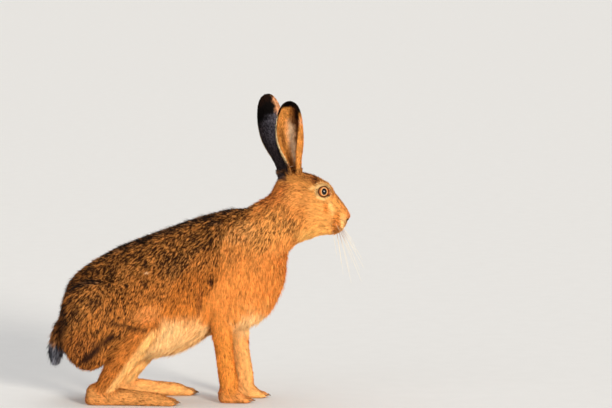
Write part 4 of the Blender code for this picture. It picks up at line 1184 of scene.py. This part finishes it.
def streaks(points, lie, size, seed):
    """Noise drawn out along the lie of the hair, about 0 and with a spread of 1."""
    across, reach = size
    steps = np.linspace(-reach, reach, 5)
    total = sum(noise(points + lie * step, across, seed) for step in steps)
    return (total - total.mean()) / total.std()


def lock_colours(locks, middle, tip, lie, own, out, rng):
    """The colours of each tuft at its root, middle and tip: ticked ones are dark, more of them round the rim of a lock
    as painted shade between the locks, and the roots are darkened as painted shade deep in the coat.
    """
    main, dark, ticks = markings(Places(0.5 * (middle + tip), locks.normals))
    count = len(ticks)
    value = TICK_CHANCE * streaks(locks.points, lie, TICK_STREAKS, 61)
    value += math.sqrt(1 - TICK_CHANCE**2 - RIM_SHADE_CHANCE**2 - TUFT_CHANCE**2) * rng.normal(0, 1, count)
    value = value[own] + TUFT_CHANCE * rng.normal(0, 1, len(own)) - RIM_SHADE_CHANCE * (out**2 - 0.5) * math.sqrt(12)
    shade = 1 + SHADE_SPREAD * np.clip(streaks(locks.points, lie, SHADE_STREAKS, 62), -1.6, 1.6)
    shade = (shade * rng.uniform(*LOCK_SHADE, count))[own, None]
    main, dark, ticks = main[own], dark[own], ticks[own]
    ticked = (1 / (1 + np.exp(-1.702 * value)) < ticks)[:, None]
    band = np.where(ticked, mix(main, dark, BAND_DARK), main) * shade
    end = np.where(ticked, dark, main * (TIP_PALE + TICKED_PALE * ticks[:, None])) * shade
    return mix(main, dark, ROOT_DARK * ticks) * ROOT_SHADE, band, end


def coat_mesh(name, skin, tree, chosen, seed):
    """A piece of the coat: locks of thin tufts, each a leaf of two triangles that bends in the middle."""
    rng = np.random.default_rng(seed)
    points, triangles, normals = skin
    middles = Places(points[triangles[chosen]].mean(axis=1), unit(normals[triangles[chosen]].sum(axis=1)))
    hair = lock_hair(middles)
    locks = spread(skin, chosen, 1 / hair[:, LOCK] ** 2 / PER_MM2, rng)
    locks = Places(locks.points[~bare(locks)], locks.normals[~bare(locks)])
    length, depth, width, density, lock = lock_hair(locks).T
    lie = lie_of(locks, 10)
    length = length * rng.uniform(0.88, 1.12, len(length))
    rise = depth * rng.uniform(*RISE_SPREAD, len(depth))
    middle, _ = follow(tree, locks.points, lie * (length * MIDDLE_AT)[:, None], rise * MIDDLE_RISE)
    tip, tip_normal = follow(tree, locks.points, lie * length[:, None], rise)
    count = density * lock**2 * PER_MM2
    count = np.floor(count + rng.random(len(count))).astype(int)
    own = np.repeat(np.arange(len(count)), count)
    out = np.sqrt(rng.random(len(own)))
    root, band, end = lock_colours(locks, middle, tip, lie, own, out, rng)
    reach = lock[own] * LOCK_SPREAD * out
    turn = rng.uniform(0, 2 * math.pi, len(own))
    normal, along = locks.normals[own], lie[own]
    across = np.cross(normal, along)
    offset = across * (reach * np.cos(turn))[:, None] + along * (reach * np.sin(turn))[:, None]
    scale = rng.uniform(*LENGTH_SPREAD, len(own))[:, None]
    guard = rng.random(scale.shape) < GUARD_HAIRS
    scale = np.where(guard, GUARD_LONGER, scale)
    base = locks.points[own] + offset
    to_middle = (middle - locks.points)[own] * scale
    to_tip = (tip - locks.points)[own] * scale
    stray = rng.normal(0, 0.05, (len(own), 3)) * length[own][:, None]
    root_at = base - normal * ROOT_SUNK
    middle_at = base + to_middle - offset * TIP_PULL * 0.5
    lifted = normal * np.where(guard, GUARD_LIFT * depth[own, None], 0.0)
    tip_at = base + to_tip - offset * TIP_PULL + stray + lifted
    roll = np.radians(rng.normal(0, ROLL_SPREAD, len(own)))
    flat = unit(np.cross(normal, to_tip))
    up = unit(np.cross(to_tip, flat))
    half = (flat * np.cos(roll)[:, None] + up * np.sin(roll)[:, None])
    half *= (0.5 * width[own] * rng.uniform(0.75, 1.25, len(own)))[:, None]
    left, right = middle_at - half, middle_at + half
    facing_in = dot(np.cross(right - root_at, left - root_at), normal) < 0
    left, right = np.where(facing_in[:, None], right, left), np.where(facing_in[:, None], left, right)
    corners = np.stack([root_at, left, right, tip_at], axis=1)
    corners[..., 2] = np.maximum(corners[..., 2], LOWEST_HAIR)
    blade = unit(np.cross(right - left, tip_at - root_at))
    blade *= np.sign(dot(blade, normal))[:, None]
    shading = np.stack([normal, normal, normal, tip_normal[own]], axis=1)
    shading = unit(mix(shading, blade[:, None, :], np.full(shading.shape[:2], NORMAL_SHARE)))
    tone = rng.uniform(0.9, 1.1, (len(own), 1))
    colours = np.stack([root, band * tone, band * tone, end * tone], axis=1)
    first = np.arange(len(own))[:, None] * 4
    faces = np.concatenate([first + (0, 2, 1), first + (1, 2, 3)], axis=1).reshape(-1, 3)
    mesh = mesh_of(name, corners.reshape(-1, 3), faces)
    paint(mesh, colours.reshape(-1, 3))
    mesh.normals_split_custom_set_from_vertices(shading.reshape(-1, 3).astype(np.float32))
    on_map = unwrap(locks, name)[own]
    corner_map = np.array([(0, 0), (-PATCH_HALF, PATCH_HALF), (PATCH_HALF, PATCH_HALF), (0, 2 * PATCH_HALF)])
    corner_map = on_map[:, None, :] + corner_map[None, :, :]
    layer = mesh.uv_layers.new(name="OFBake")
    layer.uv.foreach_set("vector", corner_map[:, [0, 2, 1, 1, 2, 3]].astype(np.float32).ravel())
    return mesh


def nodes_of(name):
    material = bpy.data.materials.new(name)
    material.use_nodes = True
    tree = material.node_tree
    return material, tree, tree.nodes["Principled BSDF"]


def painted(tree, shader, scale, least, most):
    """Gives a shader the colour painted on the points, mottled between two strengths."""
    colour = tree.nodes.new("ShaderNodeAttribute")
    colour.attribute_name = COAT_COLOUR
    place = tree.nodes.new("ShaderNodeTexCoord")
    mottle = tree.nodes.new("ShaderNodeTexNoise")
    mottle.inputs["Scale"].default_value = scale
    mottle.inputs["Detail"].default_value = 3.0
    tree.links.new(place.outputs["Object"], mottle.inputs["Vector"])
    toned = tree.nodes.new("ShaderNodeMapRange")
    toned.inputs["From Min"].default_value = 0.3
    toned.inputs["From Max"].default_value = 0.7
    toned.inputs["To Min"].default_value = least
    toned.inputs["To Max"].default_value = most
    tree.links.new(mottle.outputs["Fac"], toned.inputs["Value"])
    shaded = tree.nodes.new("ShaderNodeVectorMath")
    shaded.operation = "SCALE"
    tree.links.new(colour.outputs["Color"], shaded.inputs[0])
    tree.links.new(toned.outputs["Result"], shaded.inputs["Scale"])
    tree.links.new(shaded.outputs["Vector"], shader.inputs["Base Color"])


def coat_material():
    """Hair: the colour of its tufts, mottled a little."""
    material, tree, shader = nodes_of("coat_hair")
    painted(tree, shader, 260.0, 0.88, 1.12)
    shader.inputs["Roughness"].default_value = 0.6
    shader.inputs["Specular IOR Level"].default_value = 0.05
    return material


def skin_material():
    """Skin under short hair: the coat's colour, with a fine nap."""
    material, tree, shader = nodes_of("skin_nap")
    colour = tree.nodes.new("ShaderNodeAttribute")
    colour.attribute_name = COAT_COLOUR
    place = tree.nodes.new("ShaderNodeTexCoord")
    nap = tree.nodes.new("ShaderNodeTexNoise")
    nap.inputs["Scale"].default_value = 900.0
    nap.inputs["Detail"].default_value = 4.0
    tree.links.new(place.outputs["Object"], nap.inputs["Vector"])
    bump = tree.nodes.new("ShaderNodeBump")
    bump.inputs["Strength"].default_value = 0.5
    bump.inputs["Distance"].default_value = 0.0004
    tree.links.new(nap.outputs["Fac"], bump.inputs["Height"])
    tree.links.new(bump.outputs["Normal"], shader.inputs["Normal"])
    tree.links.new(colour.outputs["Color"], shader.inputs["Base Color"])
    shader.inputs["Roughness"].default_value = 0.8
    shader.inputs["Specular IOR Level"].default_value = 0.05
    return material


EYE_RINGS = 64
PUPIL_HALF = (0.0039, 0.0050)
IRIS_REACH = 0.0078
CORNEA_RISE = 0.0005


def make_eye(side):
    """An eyeball: a slightly domed ball, its pupil, iris and rim painted by place."""
    look, forward, up = eye_axes(side)
    points, faces = ball(np.zeros(3), 1.0, EYE_RINGS * 2)
    polar = np.arccos(np.clip(points[:, 2], -1, 1))
    turn = np.arctan2(points[:, 1], points[:, 0])
    dome = CORNEA_RISE * (1 - ramp(np.degrees(polar), 10, 46))
    radius = EYE_RADIUS - 0.0001 + dome
    x, y = np.sin(polar) * np.cos(turn), np.sin(polar) * np.sin(turn)
    placed = look * np.cos(polar)[:, None] + forward * x[:, None] + up * y[:, None]
    placed = placed * radius[:, None] + sided(EYE_CENTRE, side)
    pupil = np.hypot(x * EYE_RADIUS / PUPIL_HALF[0], y * EYE_RADIUS / PUPIL_HALF[1])
    reach = np.hypot(x, y) * EYE_RADIUS
    reach = np.where(polar > math.pi / 2, 1.0, reach)
    streak = 0.5 + 0.5 * np.sin(turn * 37 + 3 * np.sin(turn * 5)) * np.sin(turn * 61 + 1.3)
    iris = mix(srgb(176, 98, 38), srgb(216, 136, 62), streak)
    iris = mix(iris, srgb(244, 192, 138), 0.8 * (1 - ramp(pupil, 1.06, 1.36)))
    iris = mix(iris, srgb(120, 62, 26), ramp(reach, IRIS_REACH - 0.0018, IRIS_REACH - 0.0004))
    colours = mix(iris, srgb(26, 15, 10), ramp(reach, IRIS_REACH - 0.0005, IRIS_REACH + 0.0002))
    colours = mix(srgb(7, 6, 8) + np.zeros_like(colours), colours, ramp(pupil, 0.96, 1.04))
    middle = placed - sided(EYE_CENTRE, side)
    mesh = mesh_of("eyeball", placed, outwards(middle, faces))
    paint(mesh, colours)
    return mesh


def eye_material():
    """A wet eye under a clear coat."""
    material, tree, shader = nodes_of("eye_wet")
    painted(tree, shader, 1400.0, 0.85, 1.15)
    shader.inputs["Roughness"].default_value = 0.5
    shader.inputs["Specular IOR Level"].default_value = 0.0
    shader.inputs["Coat Weight"].default_value = 1.0
    shader.inputs["Coat Roughness"].default_value = 0.06
    shader.inputs["Coat IOR"].default_value = 1.34
    return material


# Whiskers of one side: place on the pad in x and z, length, and how far each points ahead, out and down
WHISKERS = [
    (0.2050, 0.2700, 0.050, (0.30, 1.10, -0.30)),
    (0.2100, 0.2695, 0.048, (0.46, 1.00, -0.35)),
    (0.2015, 0.2645, 0.068, (0.14, 1.00, -0.66)),
    (0.2065, 0.2650, 0.076, (0.34, 0.95, -0.68)),
    (0.2110, 0.2655, 0.060, (0.50, 0.85, -0.60)),
    (0.2020, 0.2610, 0.078, (0.16, 0.72, -0.88)),
    (0.2055, 0.2605, 0.090, (0.26, 0.66, -0.90)),
    (0.2090, 0.2608, 0.091, (0.42, 0.60, -0.84)),
    (0.2120, 0.2615, 0.074, (0.56, 0.56, -0.78)),
]
WHISKER_RADII = (0.00030, 0.00009)
WHISKER_DROOP = 0.10
WHISKER_STEPS = 14
WHISKER_SIDES = 5
WHISKER_ROOT = srgb(150, 88, 44)
WHISKER_PALE = srgb(255, 238, 206)
WHISKER_PALES = (0.20, 0.46)


def make_whiskers(side, tree):
    """The whiskers of one side, long fine bristles that bend down towards their tips."""
    parts, colours = [], []
    t = np.linspace(0, 1, WHISKER_STEPS)
    shade = mix(WHISKER_ROOT, np.tile(WHISKER_PALE, (WHISKER_STEPS, 1)), ramp(t, *WHISKER_PALES))
    for x, z, length, way in WHISKERS:
        root, _, _, _ = tree.find_nearest(Vector(sided((x, 0.04, z), side)))
        way = unit(np.array(way) * (1, side, 1))
        path = np.array(root) + np.outer(t, way * length) - np.outer(t**2, (0, 0, WHISKER_DROOP * length))
        radii = mix(WHISKER_RADII[0], WHISKER_RADII[1], t**0.8)
        parts.append(swept(path - way * ROOT_SUNK, radii, WHISKER_SIDES))
        colours += [np.repeat(shade, WHISKER_SIDES, axis=0), shade[:1], shade[-1:]]
    mesh = mesh_of("whiskers", *joined(parts))
    paint(mesh, np.concatenate(colours))
    return mesh


def bristle_material():
    """Bristles in the colour of each point, a little uneven."""
    material, tree, shader = nodes_of("bristle")
    painted(tree, shader, 150.0, 0.9, 1.1)
    shader.inputs["Roughness"].default_value = 0.4
    return material


# The toes of each foot, laid out as in the solids: how far the outer ones stand back, then place and size
TOE_SET_BACK = 0.0072
TOE_TIP_HEIGHT = 0.86
TOE_COUNT = 4
TOES = {
    "fore": {"tip_x": 0.0780, "y": 0.0270, "radius": 0.0050, "spread": 0.0215, "forward": LEFT_FORE_FORWARD},
    "hind": {"tip_x": -0.0320, "y": 0.0545, "radius": 0.0056, "spread": 0.0265, "forward": LEFT_HIND_FORWARD},
}
CLAW_LENGTH = 0.0098
CLAW_RADIUS = 0.0016
CLAW_TAPER = 0.80
CLAW_DROP = 0.0018
CLAW_LOWEST = 0.0006


def make_claws():
    """Every claw, tapered and curved down out of the hair of its toe."""
    parts = []
    t = np.linspace(0, 1, 9)
    for side in (RIGHT, LEFT):
        for toe in TOES.values():
            forward = toe["forward"] if side == LEFT else 0.0
            for i in range(TOE_COUNT):
                across = (i + 0.5) / TOE_COUNT - 0.5
                x = toe["tip_x"] + forward - TOE_SET_BACK * (2 * across) ** 2 - toe["radius"] + 0.001
                y = side * toe["y"] + across * toe["spread"]
                start = np.array((x, y, toe["radius"] * TOE_TIP_HEIGHT + 0.0008)) + SHIFT
                path = start + np.outer(t, (CLAW_LENGTH, 0, 0)) - np.outer(t**2, (0, 0, CLAW_DROP))
                radii = CLAW_RADIUS * (1 - CLAW_TAPER * t)
                path[:, 2] = np.maximum(path[:, 2], radii + CLAW_LOWEST)
                parts.append(swept(path, radii, 10, 0.8))
    return mesh_of("claws", *joined(parts))


def claw_material():
    """Dark horn, paler in streaks."""
    material, tree, shader = nodes_of("claw_horn")
    place = tree.nodes.new("ShaderNodeTexCoord")
    grain = tree.nodes.new("ShaderNodeTexNoise")
    grain.inputs["Scale"].default_value = 700.0
    ramp_node = tree.nodes.new("ShaderNodeValToRGB")
    ramp_node.color_ramp.elements[0].color = (*srgb(52, 38, 30), 1)
    ramp_node.color_ramp.elements[1].color = (*srgb(128, 100, 76), 1)
    tree.links.new(place.outputs["Object"], grain.inputs["Vector"])
    tree.links.new(grain.outputs["Fac"], ramp_node.inputs["Fac"])
    tree.links.new(ramp_node.outputs["Color"], shader.inputs["Base Color"])
    shader.inputs["Roughness"].default_value = 0.35
    return material


CAMERA_ELEVATION = 5.0
CAMERA_DISTANCE = 5.1
CAMERA_LENS = 200.0
SENSOR_WIDTH = 36.0
PIXEL = 0.0015
FRAME_MIDDLE = (106, 196)


def add_camera():
    """The photograph's view, from the hare's right and a little above it."""
    elevation = math.radians(CAMERA_ELEVATION)
    back = Vector((0, -math.cos(elevation), math.sin(elevation)))
    up = Vector((0, math.sin(elevation), math.cos(elevation)))
    right, over = (pixels * PIXEL for pixels in FRAME_MIDDLE)
    target = Vector((SHIFT[0], 0, 0)) + Vector((1, 0, 0)) * right + up * over
    lens = bpy.data.cameras.new("camera")
    lens.lens = CAMERA_LENS
    lens.sensor_width = SENSOR_WIDTH
    lens.clip_end = 100
    camera = bpy.data.objects.new("camera", lens)
    camera.location = target + back * CAMERA_DISTANCE
    camera.rotation_euler = (math.radians(90) - elevation, 0, 0)
    bpy.context.scene.collection.objects.link(camera)
    bpy.context.scene.camera = camera


# Soft suns: where each stands over the middle, how wide it looks in degrees, its strength and colour
LIGHTS = {
    "key": ((1.55, -3.1, 0.80), 12.0, 3.25, (1.0, 0.93, 0.81)),
    "fill": ((-2.0, -2.6, 1.4), 60.0, 0.40, (1.0, 0.98, 0.96)),
    "top": ((-0.3, 0.8, 3.0), 70.0, 0.9, (1.0, 0.99, 0.97)),
}
WORLD_LIGHT = (1.0, 0.985, 0.965)
WORLD_STRENGTH = 0.36
FLOOR_SIZE = 80.0


def add_lights():
    """A warm soft key low at the front, a cooler fill, light from above, and a pale room."""
    for name, (place, width, strength, colour) in LIGHTS.items():
        lamp = bpy.data.lights.new(name, "SUN")
        lamp.angle = math.radians(width)
        lamp.energy = strength
        lamp.color = colour
        light = bpy.data.objects.new(name, lamp)
        light.location = place
        light.rotation_euler = (-Vector(place)).to_track_quat("-Z", "Y").to_euler()
        bpy.context.scene.collection.objects.link(light)
    world = bpy.data.worlds.new("room")
    world.use_nodes = True
    background = world.node_tree.nodes["Background"]
    background.inputs["Color"].default_value = (*WORLD_LIGHT, 1)
    background.inputs["Strength"].default_value = WORLD_STRENGTH
    bpy.context.scene.world = world
    bpy.context.scene.view_settings.view_transform = "Standard"


def add_floor():
    half = FLOOR_SIZE / 2
    points = np.array([(-half, -half, 0), (half, -half, 0), (half, half, 0), (-half, half, 0)])
    floor = new_object("floor", mesh_of("floor", points, np.array([[0, 1, 2, 3]])))
    material, tree, shader = nodes_of("floor_pale")
    place = tree.nodes.new("ShaderNodeTexCoord")
    grain = tree.nodes.new("ShaderNodeTexNoise")
    grain.inputs["Scale"].default_value = 30.0
    tone = tree.nodes.new("ShaderNodeMapRange")
    tone.inputs["To Min"].default_value = 0.86
    tone.inputs["To Max"].default_value = 0.90
    tree.links.new(place.outputs["Object"], grain.inputs["Vector"])
    tree.links.new(grain.outputs["Fac"], tone.inputs["Value"])
    tree.links.new(tone.outputs["Result"], shader.inputs["Base Color"])
    shader.inputs["Roughness"].default_value = 0.9
    floor.data.materials.append(material)


def keep(thing, slot, *nodes):
    """Hangs a piece on the root and hides the nodes that it stands for; the slot it is given is not used."""
    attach(thing, "root")
    if nodes:
        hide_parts(*nodes)


SKIN_DARK = 0.15
SKIN_TICKS = 0.5
SKIN_SHADE = 0.86
COAT_SLOTS = {
    "coat_head": "face",
    "coat_ear": "ear",
    "coat_neck": "chest",
    "coat_chest": "chest",
    "coat_side": "flank",
    "coat_haunch": "back",
    "coat_tail": "tail",
    "coat_foreleg": "leg",
    "coat_hind_leg": "leg",
}


def main():
    add_camera()
    add_lights()
    add_floor()
    thing = make_skin()
    points, triangles = points_of(thing.data), triangles_of(thing.data)
    skin = points, triangles, normals_of(points, triangles)
    places = Places(points, skin[2])
    main_colour, dark, ticks = markings(places)
    paint(thing.data, mix(main_colour, dark, SKIN_DARK + SKIN_TICKS * ticks) * SKIN_SHADE)
    thing.data.materials.clear()
    thing.data.materials.append(skin_material())
    keep(thing, "flank", *[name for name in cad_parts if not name.startswith("eye")])
    tree = tree_of(points, triangles)
    middles = Places(points[triangles].mean(axis=1), unit(skin[2][triangles].sum(axis=1)))
    owner = owners(middles)
    hair = coat_material()
    for i, name in enumerate(COAT_PIECES):
        piece = new_object(name, coat_mesh(name, skin, tree, np.flatnonzero(owner == i), i))
        piece.data.materials.append(hair)
        slot = next(slot for start, slot in COAT_SLOTS.items() if name.startswith(start))
        keep(piece, slot)
        print("COAT", name, len(piece.data.polygons))
    bristle = bristle_material()
    for side, name in ((RIGHT, "whiskers_right"), (LEFT, "whiskers_left")):
        whiskers = new_object(name, make_whiskers(side, tree))
        whiskers.data.materials.append(bristle)
        keep(whiskers, "face")
    claws = new_object("claws", make_claws())
    claws.data.materials.append(claw_material())
    keep(claws, "leg")
    wet = eye_material()
    for side, name in ((RIGHT, "eye_right"), (LEFT, "eye_left")):
        eye = new_object(name.replace("eye", "eyeball"), make_eye(side))
        eye.data.materials.append(wet)
        keep(eye, "eye", name)


main()
